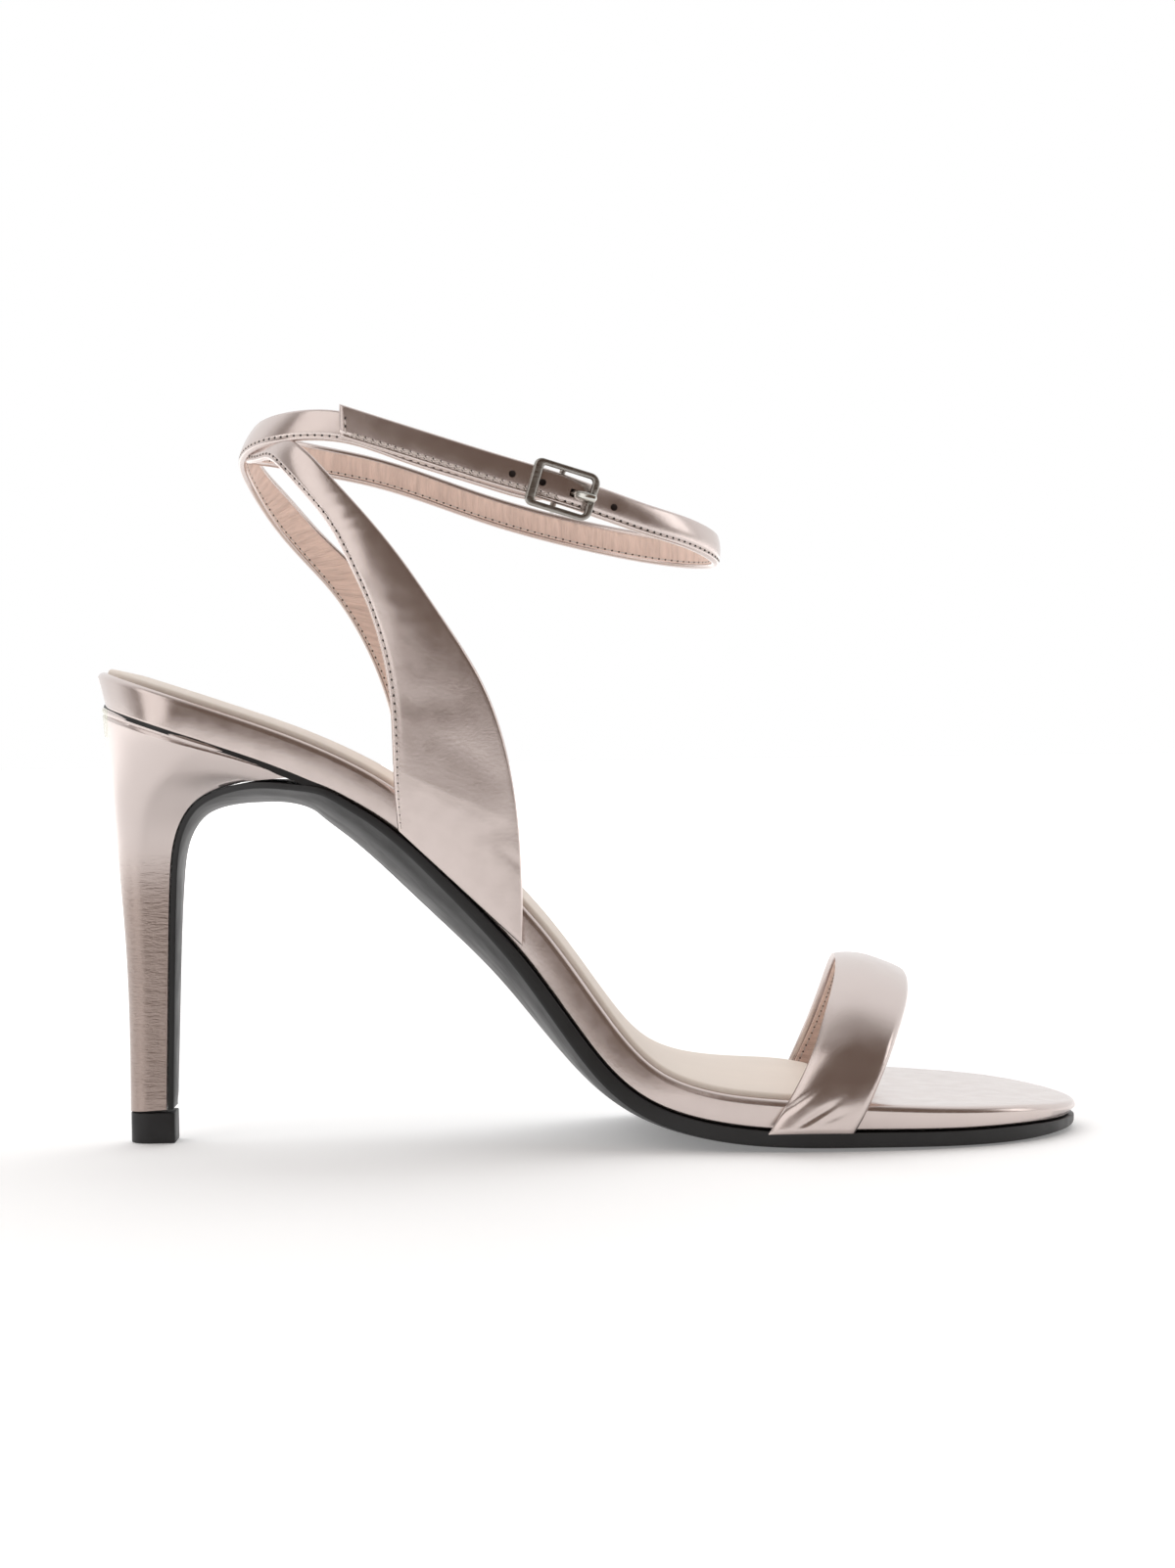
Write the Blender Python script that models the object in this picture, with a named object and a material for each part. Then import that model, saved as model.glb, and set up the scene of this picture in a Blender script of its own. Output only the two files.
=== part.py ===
"""Ankle strap sandal, right shoe: slim high heel, one toe strap, crossed quarters.

The frame is toe +X, medial +Y, up +Z, with heel tip and forefoot flat on z = 0.
Sizes are millimetres until the mesh is written, which divides by 1000.
A sole piece is a slab bent along a side view line. A strap is a ribbon of
constant thickness through sections that each join a rear or lower edge to a
front or upper edge. Every line runs smoothly through the rows of its table.
"""
import math

import bmesh
import bpy
import numpy as np
from mathutils import Matrix, Vector

MM = 0.001
GAP = 0.3
CENTRE_SHIFT = (-0.945, -0.94)

FINISH = {
    "metal_leather": ((0.62, 0.53, 0.49, 1.0), 0.28, 0.9),
    "heel_leather": ((0.64, 0.56, 0.52, 1.0), 0.28, 0.9),
    "sock": ((0.78, 0.70, 0.63, 1.0), 0.6, 0.0),
    "black_sole": ((0.02, 0.02, 0.022, 1.0), 0.35, 0.0),
    "tip_rubber": ((0.012, 0.012, 0.013, 1.0), 0.55, 0.0),
    "nickel": ((0.36, 0.34, 0.32, 1.0), 0.3, 1.0),
}

# Top line of the insole, seen from the side, from heel to toe.
# lat and med are half widths before the ends are rounded, thick is the insole,
# reach is how much wider the outsole is, edge its thickness at the side and
# belly how far its underside swells below that edge.
BED_COLUMNS = ("x", "z", "lat", "med", "thick", "reach", "edge", "belly")
BED = (
    (-106.4, 104.4, 24.6, 24.6, 7.2, -1.0, 1.5, 3.0),
    (-92.0, 99.6, 24.8, 24.8, 7.3, -1.0, 1.5, 3.0),
    (-78.0, 94.8, 24.8, 24.8, 7.3, -1.0, 1.5, 3.2),
    (-64.0, 89.7, 24.2, 24.0, 7.3, -1.0, 1.5, 3.4),
    (-52.0, 84.3, 23.4, 23.0, 7.3, 0.0, 1.6, 5.0),
    (-39.0, 76.4, 22.8, 22.3, 7.3, 1.2, 1.9, 6.4),
    (-24.0, 62.7, 22.5, 22.0, 7.2, 1.5, 2.4, 6.4),
    (-9.0, 46.2, 23.0, 22.7, 7.0, 1.2, 2.8, 5.2),
    (4.0, 28.0, 25.5, 25.6, 6.8, 0.5, 3.1, 3.6),
    (14.6, 16.8, 29.0, 29.6, 6.6, 0.0, 3.3, 2.4),
    (25.0, 12.9, 32.8, 33.6, 6.4, 0.0, 3.4, 2.0),
    (37.0, 11.3, 35.4, 37.0, 6.4, 0.0, 3.4, 2.0),
    (58.0, 9.9, 36.4, 38.6, 5.6, 0.0, 3.3, 1.8),
    (80.0, 8.6, 36.4, 38.6, 4.7, 0.0, 3.2, 1.2),
    (95.0, 7.7, 36.4, 38.6, 3.9, 0.0, 3.0, 0.6),
    (108.6, 6.1, 36.4, 38.6, 2.9, 0.0, 1.8, 0.2),
)
TOE_REACH, TOE_POWER, TOE_ROOT = 56.0, 2.6, 1.9
HEEL_REACH, HEEL_POWER, HEEL_ROOT = 24.0, 2.2, 2.0
INSOLE_RIM_COLUMNS = ("inset", "share", "offset")
INSOLE_RIM = (
    (0.8, 1.0, 0.0),
    (0.0, 1.0, 0.9),
    (0.0, 0.3, -0.5),
    (0.5, 0.1, -0.3),
    (1.7, 0.0, 0.0),
)
SEAT_LEAN, SEAT_LEAN_REACH = 2.5, 26.0

# Front of the heel, from the feather edge under the waist down to the tip.
# x and z run along the upper side of the outsole's flap, half is its half
# width; back_x, back_z, heel_half and round_back shape the heel behind it.
BREAST_COLUMNS = (
    "x", "z", "half", "edge", "belly", "back_x", "back_z", "heel_half", "round_back",
)
BREAST = (
    (-62.0, 79.0, 22.0, 1.5, 3.5, -106.0, 96.7, 24.2, 23.0),
    (-71.0, 79.6, 19.5, 1.5, 3.3, -105.8, 93.4, 22.8, 20.0),
    (-79.3, 78.1, 15.5, 1.5, 2.6, -105.4, 88.4, 20.0, 16.0),
    (-85.4, 74.7, 11.8, 1.4, 1.8, -104.8, 81.0, 15.8, 11.0),
    (-89.2, 68.6, 9.2, 1.3, 1.1, -104.0, 71.5, 11.0, 7.6),
    (-91.0, 58.0, 7.2, 1.3, 0.8, -102.9, 57.8, 7.7, 5.8),
    (-91.9, 38.0, 5.6, 1.3, 0.6, -101.7, 38.0, 5.8, 4.8),
    (-92.5, 20.0, 4.8, 1.3, 0.5, -101.4, 20.0, 5.0, 4.4),
    (-92.9, 7.4, 4.3, 1.3, 0.4, -101.5, 7.0, 4.6, 4.2),
)
TIP_HEIGHT = 6.7
TIP_LENGTH, TIP_HALF, TIP_BACK = 10.0, 4.6, -101.4

SOCK_FRONT, SOCK_INSET, SOCK_THICK, SOCK_CROWN = 52.0, 1.9, 0.9, 0.5

STRAP_THICK = 1.7
TOE_STRAP_THICK = 1.8
WING_BELLY = 1.3

# Sections of the straps: a is the rear or lower edge, b the front or upper one.
EDGE_COLUMNS = ("ax", "ay", "az", "bx", "by", "bz")
LATERAL_WING = (
    (-40.5, -24.2, 68.8, -14.3, -24.4, 43.7),
    (-41.1, -24.9, 77.0, -14.3, -25.3, 60.0),
    (-41.4, -25.7, 88.5, -16.2, -27.0, 81.0),
    (-42.4, -26.4, 102.5, -21.6, -28.8, 99.3),
    (-45.9, -26.6, 116.3, -30.5, -29.3, 114.4),
    (-50.0, -26.2, 125.9, -39.0, -28.2, 127.0),
    (-54.8, -24.2, 135.0, -46.5, -26.2, 136.5),
    (-60.8, -21.2, 142.5, -53.6, -23.6, 144.6),
    (-66.0, -16.6, 148.2, -60.6, -19.2, 151.8),
)
MEDIAL_WING = (
    (-40.5, 24.1, 68.8, -14.3, 24.2, 43.7),
    (-41.4, 24.9, 78.5, -14.9, 25.2, 61.5),
    (-43.4, 25.8, 92.5, -18.6, 27.0, 83.5),
    (-47.6, 26.3, 105.8, -26.5, 28.2, 99.8),
    (-53.4, 26.0, 117.2, -37.0, 28.2, 113.2),
    (-60.0, 24.3, 126.0, -49.6, 26.8, 126.8),
    (-66.5, 21.2, 133.4, -59.3, 23.8, 136.6),
    (-71.6, 16.6, 140.6, -66.2, 18.8, 144.6),
    (-74.3, 9.4, 146.4, -71.8, 11.6, 151.6),
)

# Ankle strap round the back of the leg and on, in degrees round the leg from
# the front over the medial side. out is the distance of its lower edge from
# the leg's outline, and lean how much nearer to the leg its upper edge lies.
LEG_X, LEG_LONG, LEG_WIDE = -21.7, 51.4, 26.0
RING_COLUMNS = ("deg", "middle", "height", "out", "lean")
LOW_RING = (
    (-160.0, 152.4, 6.6, 0.0, 2.6),
    (180.0, 152.8, 6.4, 0.0, 3.2),
    (160.0, 153.2, 6.6, 0.0, 2.6),
    (140.0, 152.2, 6.8, 0.0, 1.2),
    (118.0, 149.4, 6.9, 0.0, 0.3),
    (90.0, 141.3, 6.9, 0.0, 0.0),
    (62.0, 134.2, 6.9, 0.0, 0.0),
    (36.0, 130.2, 6.9, 0.0, 0.0),
    (14.0, 128.9, 6.8, 0.0, 0.0),
    (-8.0, 129.4, 6.8, 0.0, 0.0),
    (-30.0, 132.1, 6.7, 0.1, 0.0),
    (-47.0, 134.7, 6.7, 0.6, 0.0),
)
HIGH_RING = (
    (180.0, 152.9, 6.4, 1.4, 3.2),
    (-157.0, 154.9, 6.4, 1.4, 2.6),
    (-141.0, 155.8, 6.5, 1.4, 1.0),
)
NEAR_COLUMNS = ("x", "y", "middle", "height")
NEAR_TAIL = (
    (6.6, -22.9, 137.0, 6.8),
    (1.7, -25.1, 138.6, 6.8),
    (-4.8, -27.6, 140.8, 6.8),
    (-11.3, -27.6, 142.9, 6.9),
    (-18.0, -27.8, 144.9, 7.0),
    (-26.0, -27.8, 147.5, 7.0),
    (-38.0, -26.5, 151.6, 7.0),
    (-51.5, -24.4, 156.2, 7.2),
)
NEAR_INNER = (
    (-50.5, -22.0, 155.0, 6.7),
    (-38.0, -24.2, 150.6, 6.7),
    (-26.0, -25.7, 146.5, 6.7),
    (-18.0, -25.6, 143.9, 6.7),
    (-11.0, -25.2, 141.9, 6.2),
)

# Toe strap, from the lateral side over the foot to the medial side.
TOE_STRAP = (
    (36.5, -37.7, 4.2, 54.5, -37.9, 4.0),
    (38.6, -37.9, 7.5, 56.4, -37.7, 7.0),
    (41.6, -37.9, 12.5, 58.6, -37.2, 11.2),
    (45.6, -35.8, 19.6, 62.2, -34.4, 18.4),
    (49.6, -29.0, 28.2, 66.0, -27.6, 25.6),
    (53.3, -16.6, 35.6, 69.4, -15.6, 31.2),
    (55.3, 0.0, 38.9, 71.0, 0.0, 33.6),
    (55.9, 17.0, 36.3, 71.4, 16.0, 31.4),
    (55.0, 30.0, 28.8, 70.4, 28.6, 25.4),
    (52.4, 38.0, 19.4, 68.0, 36.2, 17.6),
    (49.4, 40.0, 12.2, 65.2, 38.8, 11.2),
    (47.4, 39.9, 7.5, 63.4, 39.5, 7.0),
    (46.6, 39.9, 4.2, 62.6, 39.6, 4.0),
)

# Buckle, placed at its middle and turned to lie along the strap.
BUCKLE_AT = (-4.4, -28.95, 140.6)
BUCKLE_SLOPE, BUCKLE_TURN = 17.0, 10.4
BUCKLE_LONG, BUCKLE_TALL, BUCKLE_CORNER = 14.8, 10.4, 1.6
BUCKLE_INSIDE, BUCKLE_SOFT = 0.5, 0.3
BAR_LEFT, BAR_SIDE, BAR_RIGHT, BAR_THICK = 2.1, 1.3, 1.6, 1.8
HINGE_ALONG, HINGE_DEPTH, HINGE_RADIUS = -0.4, -3.9, 0.65
SLEEVE_OUTER, SLEEVE_INNER, FOLD_HALF = 1.75, 0.95, 2.6
SLEEVE_ENDS = ((-2.7, -1.2), (1.2, 2.7))
PRONG_COLUMNS = ("along", "up", "out", "radius")
PRONG = (
    (0.7, 0.0, -3.6, 0.7),
    (1.9, 0.0, -2.4, 0.75),
    (3.0, 0.0, -0.8, 0.8),
    (4.2, 0.0, 0.9, 0.8),
    (5.6, 0.0, 1.75, 0.8),
    (7.3, 0.0, 1.95, 0.7),
)
HOLES = ((-15.0, 144.1, 0.75), (-8.6, 142.2, 0.75), (6.6, 137.1, 0.75))


def clear_scene():
    """Remove every object that the default scene holds."""
    for item in list(bpy.data.objects):
        bpy.data.objects.remove(item, do_unlink=True)


def natural_spline(t, values, wanted):
    """Cubic through values at t with no bend at its ends, read at wanted."""
    count = len(t)
    step = np.diff(t)
    matrix = np.eye(count)
    right = np.zeros_like(values)
    for i in range(1, count - 1):
        matrix[i, i - 1:i + 2] = step[i - 1], 2 * (step[i - 1] + step[i]), step[i]
        after = (values[i + 1] - values[i]) / step[i]
        before = (values[i] - values[i - 1]) / step[i - 1]
        right[i] = 6 * (after - before)
    bend = np.linalg.solve(matrix, right)
    k = np.clip(np.searchsorted(t, wanted, side="right") - 1, 0, count - 2)
    d = (wanted - t[k])[:, None]
    h = step[k][:, None]
    slope = (values[k + 1] - values[k]) / h - h * (2 * bend[k] + bend[k + 1]) / 6
    return values[k] + d * (slope + d * (bend[k] / 2 + d * (bend[k + 1] - bend[k]) / (6 * h)))


def through(rows, samples, spread=3):
    """Run smoothly through table rows, spaced by the first spread columns."""
    values = np.array(rows, float)
    gaps = np.linalg.norm(np.diff(values[:, :spread], axis=0), axis=1)
    t = np.concatenate([[0.0], np.cumsum(gaps)])
    return natural_spline(t, values, np.linspace(0.0, t[-1], samples))


def side_line(rows, columns, samples=500):
    """Side view line with its length, its normal and its other columns."""
    data = through(rows, samples, 2)
    line = {name: data[:, i] for i, name in enumerate(columns)}
    run = np.hypot(np.diff(line["x"]), np.diff(line["z"]))
    line["s"] = np.concatenate([[0.0], np.cumsum(run)])
    tx = np.gradient(line["x"], line["s"])
    tz = np.gradient(line["z"], line["s"])
    size = np.hypot(tx, tz)
    line["nx"] = -tz / size
    line["nz"] = tx / size
    return line


def read(line, name, s):
    """Value of one column at length s."""
    return np.interp(s, line["s"], line[name])


def closing(distance, reach, power, root):
    """Factor that rounds an outline towards its end."""
    u = np.clip(distance / reach, 0.0, 1.0)
    return (1.0 - (1.0 - u) ** power) ** (1.0 / root)


def inward(outline, inset):
    """Closed outline moved inwards by inset."""
    ahead = np.roll(outline, -1, axis=0) - np.roll(outline, 1, axis=0)
    ahead /= np.linalg.norm(ahead, axis=1)[:, None]
    return outline + inset * np.stack([-ahead[:, 1], ahead[:, 0]], axis=1)


def mesh_object(name, finish, verts, faces):
    """Object in metres with its own material and outward faces."""
    mesh = bpy.data.meshes.new(name)
    shift_x, shift_y = CENTRE_SHIFT
    points = [((x + shift_x) * MM, (y + shift_y) * MM, z * MM) for x, y, z in verts]
    mesh.from_pydata(points, [], faces)
    work = bmesh.new()
    work.from_mesh(mesh)
    bmesh.ops.triangulate(work, faces=[f for f in work.faces if len(f.verts) > 4])
    bmesh.ops.recalc_face_normals(work, faces=work.faces)
    if work.calc_volume(signed=True) < 0:
        bmesh.ops.reverse_faces(work, faces=work.faces)
    work.to_mesh(mesh)
    work.free()
    item = bpy.data.objects.new(name, mesh)
    bpy.context.scene.collection.objects.link(item)
    colour, rough, metal = FINISH[finish]
    material = bpy.data.materials.new(name)
    material.use_nodes = True
    shader = material.node_tree.nodes["Principled BSDF"]
    shader.inputs["Base Color"].default_value = colour
    shader.inputs["Roughness"].default_value = rough
    shader.inputs["Metallic"].default_value = metal
    mesh.materials.append(material)
    return item


def slab(name, finish, place, stations, lat, med, rims, crown, belly, across):
    """Plate inside an outline, with rim rows (inset, level) from bottom to top.

    Side points of one station face each other, so both faces are ladders.
    crown and belly raise the middle of the top face and lower the bottom one.
    """
    count = len(stations)
    lower = np.stack([stations, -lat], axis=1)
    upper = np.stack([stations, med], axis=1)[::-1]
    outline = np.concatenate([lower, upper])
    verts = []
    loops = []
    for inset, level in rims:
        ring = inward(outline, inset)
        loops.append(range(len(verts), len(verts) + 2 * count))
        verts += place(ring[:, 0], ring[:, 1], level)
    faces = []
    for below, above in zip(loops, loops[1:]):
        for i in range(2 * count):
            j = (i + 1) % (2 * count)
            faces.append((below[i], below[j], above[j], above[i]))
    ends = ((loops[0], rims[0], -belly), (loops[-1], rims[-1], crown))
    for loop, (inset, level), swell in ends:
        ring = inward(outline, inset)
        left, right = ring[:count], ring[count:][::-1]
        columns = [[loop[i] for i in range(count)]]
        for step in range(1, across):
            v = step / across
            middle = (left * (1 - v) + right * v)[1:-1]
            columns.append([None] + list(range(len(verts), len(verts) + count - 2)) + [None])
            rise = swell * 4 * v * (1 - v)
            verts += place(middle[:, 0], middle[:, 1], level, rise)
        columns.append([loop[2 * count - 1 - i] for i in range(count)])
        for one, two in zip(columns, columns[1:]):
            for i in range(1, count - 2):
                faces.append((one[i], one[i + 1], two[i + 1], two[i]))
        faces.append([columns[0][0]] + [column[1] for column in columns] + [columns[-1][0]])
        faces.append([columns[0][-1]] + [column[-2] for column in columns] + [columns[-1][-1]])
    return mesh_object(name, finish, verts, faces)


def spaced(start, end, count, ease):
    """Stations that crowd towards both ends by ease, from 0 to 1."""
    t = np.linspace(0.0, 1.0, count)
    soft = 0.5 - 0.5 * np.cos(math.pi * t)
    return start + (end - start) * (t * (1 - ease) + soft * ease)


def bed_line():
    """Top line of the insole."""
    return side_line(BED, BED_COLUMNS)


def bed_widths(line, s):
    """Half widths of the insole at s, with heel and toe rounded."""
    total = line["s"][-1]
    heel = closing(s, HEEL_REACH, HEEL_POWER, HEEL_ROOT)
    toe = closing(total - s, TOE_REACH, TOE_POWER, TOE_ROOT)
    ends = heel * toe
    return read(line, "lat", s) * ends, read(line, "med", s) * ends


def make_insole(line):
    """Insole board wrapped in metallic leather."""
    s = spaced(0.12, line["s"][-1] - 0.12, 46, 0.6)
    lat, med = bed_widths(line, s)

    def place(s, y, level, rise=0.0):
        share, offset = level
        s = s + SEAT_LEAN * share * np.clip(1.0 - s / SEAT_LEAN_REACH, 0.0, 1.0)
        h = offset - share * read(line, "thick", s) + rise
        x = read(line, "x", s) + h * read(line, "nx", s)
        z = read(line, "z", s) + h * read(line, "nz", s)
        return list(zip(x, y, z))

    rims = [(inset, (share, offset)) for inset, share, offset in INSOLE_RIM]
    return slab("insole", "metal_leather", place, s, lat, med, rims, 0.0, 0.0, 4)


def make_sock(line):
    """Thin padded sock lining from the heel to under the toe strap."""
    end = float(np.interp(SOCK_FRONT, line["x"], line["s"]))
    s = spaced(SOCK_INSET, end, 34, 0.5)
    lat, med = bed_widths(line, s)
    heel = closing(s - SOCK_INSET + 0.12, HEEL_REACH, HEEL_POWER, HEEL_ROOT)
    heel = heel / closing(s, HEEL_REACH, HEEL_POWER, HEEL_ROOT)
    front = closing(end - s + 2.0, 14.0, 2.0, 4.0)
    lat = (lat - SOCK_INSET) * heel * front
    med = (med - SOCK_INSET) * heel * front

    def place(s, y, level, rise=0.0):
        x = read(line, "x", s) + (level + rise) * read(line, "nx", s)
        z = read(line, "z", s) + (level + rise) * read(line, "nz", s)
        return list(zip(x, y, z))

    top = GAP + SOCK_THICK
    rims = [(0.0, GAP), (0.0, GAP + 0.4), (0.3, top - 0.15), (0.9, top)]
    return slab("sock_lining", "sock", place, s, lat, med, rims, SOCK_CROWN, 0.0, 4)


def sole_rows(line):
    """Upper side of the outsole: under the insole, then down the heel breast."""
    rows = []
    heel_end = float(np.interp(-53.0, line["x"], line["s"]))
    for s in np.linspace(line["s"][-1], heel_end, 30):
        drop = read(line, "thick", s) + GAP
        lat, med = read(line, "lat", s), read(line, "med", s)
        reach = read(line, "reach", s)
        x = read(line, "x", s) - drop * read(line, "nx", s)
        z = read(line, "z", s) - drop * read(line, "nz", s)
        edge, belly = read(line, "edge", s), read(line, "belly", s)
        rows.append((x, z, lat + reach, med + reach, edge, belly))
    for x, z, half, edge, belly, *_ in BREAST:
        rows.append((x, z, half, half, edge, belly))
    return rows


def sole_line(line):
    """Outsole line from the toe to the foot of the flap, normal pointing up."""
    path = side_line(sole_rows(line), ("x", "z", "lat", "med", "edge", "belly"))
    path["nx"], path["nz"] = -path["nx"], -path["nz"]
    return path


def make_outsole(path):
    """Forepart, waist with a rounded underside, and flap on the heel breast."""
    s = spaced(0.12, path["s"][-1], 60, 0.35)
    ends = closing(s, TOE_REACH, TOE_POWER, TOE_ROOT)
    lat = read(path, "lat", s) * ends
    med = read(path, "med", s) * ends

    def place(s, y, level, rise=0.0):
        share, offset = level
        belly = -rise * read(path, "belly", s)
        h = -share * read(path, "edge", s) + offset - belly
        x = read(path, "x", s) + h * read(path, "nx", s)
        z = read(path, "z", s) + h * read(path, "nz", s)
        return list(zip(x, y, np.maximum(z, 0.0)))

    rims = [(0.5, (1.0, 0.0)), (0.0, (1.0, 0.6)), (0.0, (0.0, 0.0))]
    return slab("outsole", "black_sole", place, s, lat, med, rims, 0.0, 1.0, 4)


def d_outline(count):
    """Share of length and of half width round one side of a heel section."""
    turn = np.linspace(0.0, math.pi / 2, count)
    return 1.0 - np.cos(turn), np.sin(turn) ** 0.9


def heel_sections(line, path, around=9):
    """Heel points, a row for each section from the seat down to the tip."""
    share, bulge = d_outline(around)
    grid = []
    for index, row in enumerate(BREAST):
        r = dict(zip(BREAST_COLUMNS, row))
        near = np.argmin((path["x"] - r["x"]) ** 2 + (path["z"] - r["z"]) ** 2)
        front_x = r["x"] + GAP * path["nx"][near]
        front_z = r["z"] + GAP * path["nz"][near]
        length = front_x - r["back_x"]
        x = np.concatenate([share * r["round_back"], [length]])
        wide = np.concatenate([bulge * r["heel_half"], [r["half"]]])
        u = x / length
        x = x + r["back_x"]
        z = r["back_z"] + u * (front_z - r["back_z"])
        if index == 0:
            under = line["x"] - (line["thick"] + GAP) * line["nx"]
            z = np.interp(x, under, line["z"] - (line["thick"] + GAP) * line["nz"])
        side = np.stack([x, -wide, z], axis=1)
        other = np.stack([x, wide, z], axis=1)[1:][::-1]
        grid.append(np.concatenate([side, other]).ravel())
    return grid


def make_heel(line, path, levels=26):
    """Heel block covered in the same leather."""
    grid = heel_sections(line, path)
    fronts = np.array([(row[0], row[1]) for row in BREAST])
    table = np.hstack([fronts, np.array(grid)])
    rows = through(table, levels, 2)[:, 2:]
    around = rows.shape[1] // 3
    verts = [tuple(p) for row in rows for p in row.reshape(-1, 3)]
    faces = []
    for level in range(levels - 1):
        for i in range(around):
            j = (i + 1) % around
            a, b = level * around, (level + 1) * around
            faces.append((a + i, a + j, b + j, b + i))
    for base in (0, (levels - 1) * around):
        for i in range(1, around // 2):
            one, two = base + i, base + (around - i)
            faces.append((one, one + 1, two - 1, two))
        faces.append((base, base + 1, base + around - 1))
    return mesh_object("heel", "heel_leather", verts, faces)


def make_top_piece():
    """Small black lift under the heel, flat on the floor."""
    share, bulge = d_outline(9)
    x = np.concatenate([share * TIP_LENGTH * 0.5, [TIP_LENGTH * 0.97, TIP_LENGTH]])
    wide = np.concatenate([bulge * TIP_HALF, [TIP_HALF * 0.97, TIP_HALF * 0.85]])
    ring = np.concatenate([np.stack([x, -wide], axis=1), np.stack([x, wide], axis=1)[1:][::-1]])
    count = len(ring)
    verts = [(px + TIP_BACK, py, z) for z in (0.0, TIP_HEIGHT) for px, py in ring]
    faces = [tuple(range(count)), tuple(range(count, 2 * count))]
    for i in range(count):
        j = (i + 1) % count
        faces.append((i, j, count + j, count + i))
    return mesh_object("top_piece", "tip_rubber", verts, faces)


def ribbon(name, finish, rows, samples, thick, belly, across=4):
    """Strap solid: edges a and b joined by a section with rounded edges."""
    data = through(rows, samples, 6)
    a, b = data[:, :3], data[:, 3:6]
    v = np.linspace(0.0, 1.0, across + 1)
    wide = np.linalg.norm(b - a, axis=1)
    middle = a[:, None] * (1 - v)[None, :, None] + b[:, None] * v[None, :, None]
    along = np.gradient(middle, axis=0)
    chord = (b - a)[:, None]
    normal = np.cross(chord, along)
    normal /= np.linalg.norm(normal, axis=2)[:, :, None]
    t = np.linspace(0.0, 1.0, samples)
    ends = np.clip(np.minimum(t, 1.0 - t) / 0.06, 0.0, 1.0) ** 0.5
    swell = belly * (ends * np.clip(wide / 30.0, 0.0, 1.0))[:, None] * (4 * v * (1 - v))[None]
    middle = middle + normal * swell[:, :, None]
    half = thick / 2
    rim = 0.22 * thick / wide
    rings = []
    for i in range(samples):
        edge = (b[i] - a[i]) * rim[i]
        inner = middle[i] - normal[i] * half
        outer = middle[i] + normal[i] * half
        inner[0], outer[0] = inner[0] + edge, outer[0] + edge
        inner[-1], outer[-1] = inner[-1] - edge, outer[-1] - edge
        low = [middle[i][0] + normal[i][0] * half * k for k in (-0.5, 0.5)]
        high = [middle[i][-1] + normal[i][-1] * half * k for k in (0.5, -0.5)]
        rings.append(low + list(outer) + high + list(inner[::-1]))
    count = len(rings[0])
    verts = [tuple(p) for ring in rings for p in ring]
    faces = [tuple(range(count)), tuple(range((samples - 1) * count, samples * count))]
    for i in range(samples - 1):
        for j in range(count):
            k = (j + 1) % count
            faces.append((i * count + j, i * count + k, (i + 1) * count + k, (i + 1) * count + j))
    return mesh_object(name, finish, verts, faces)


def ring_rows(rows):
    """Sections of the ankle strap round the leg's outline."""
    out = []
    for deg, middle, height, away, lean in rows:
        c, s = math.cos(math.radians(deg)), math.sin(math.radians(deg))
        length = math.hypot(LEG_WIDE * c, LEG_LONG * s)
        section = []
        for reach, z in ((away, middle - height / 2), (away - lean, middle + height / 2)):
            x = LEG_X + LEG_LONG * c + reach * LEG_WIDE * c / length
            y = LEG_WIDE * s + reach * LEG_LONG * s / length
            section += [x, y, z]
        out.append(tuple(section))
    return out


def near_rows(rows):
    """Sections of the strap on the lateral side, beside the buckle."""
    return [(x, y, middle - height / 2, x, y, middle + height / 2) for x, y, middle, height in rows]


def buckle_axes():
    """Middle of the buckle and its along, up and outward directions."""
    slope, turn = math.radians(BUCKLE_SLOPE), math.radians(BUCKLE_TURN)
    along = Vector((math.cos(slope) * math.cos(turn), math.sin(turn), -math.sin(slope) * math.cos(turn)))
    out = Vector((0.0, -1.0, 0.0))
    out = (out - along * out.dot(along)).normalized()
    return Vector(BUCKLE_AT), along, out.cross(along), out


def at_buckle(along, up, out):
    """Point given in the buckle's own directions."""
    middle, e1, e2, e3 = buckle_axes()
    return middle + e1 * along + e2 * up + e3 * out


def sleeve(name, finish, low, high, outer, inner, around=20):
    """Short tube round the hinge bar of the buckle."""
    verts = []
    for radius, up in ((inner, low), (outer, low), (outer, high), (inner, high)):
        for i in range(around):
            turn = 2 * math.pi * i / around
            along = HINGE_ALONG + radius * math.cos(turn)
            verts.append(tuple(at_buckle(along, up, HINGE_DEPTH + radius * math.sin(turn))))
    faces = []
    for ring in range(4):
        for i in range(around):
            j = (i + 1) % around
            a, b = ring * around, ((ring + 1) % 4) * around
            faces.append((a + i, a + j, b + j, b + i))
    return mesh_object(name, finish, verts, faces)


def block(name, size, middle):
    """Cutter in the buckle's directions."""
    verts = []
    for a in (-0.5, 0.5):
        for u in (-0.5, 0.5):
            for o in (-0.5, 0.5):
                corner = [m + k * long for m, k, long in zip(middle, (a, u, o), size)]
                verts.append(tuple(at_buckle(*corner)))
    faces = [(0, 1, 3, 2), (4, 5, 7, 6), (0, 1, 5, 4), (2, 3, 7, 6), (0, 2, 6, 4), (1, 3, 7, 5)]
    item = mesh_object(name, "nickel", verts, faces)
    item.hide_render = True
    item.display_type = "WIRE"
    return item


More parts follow.
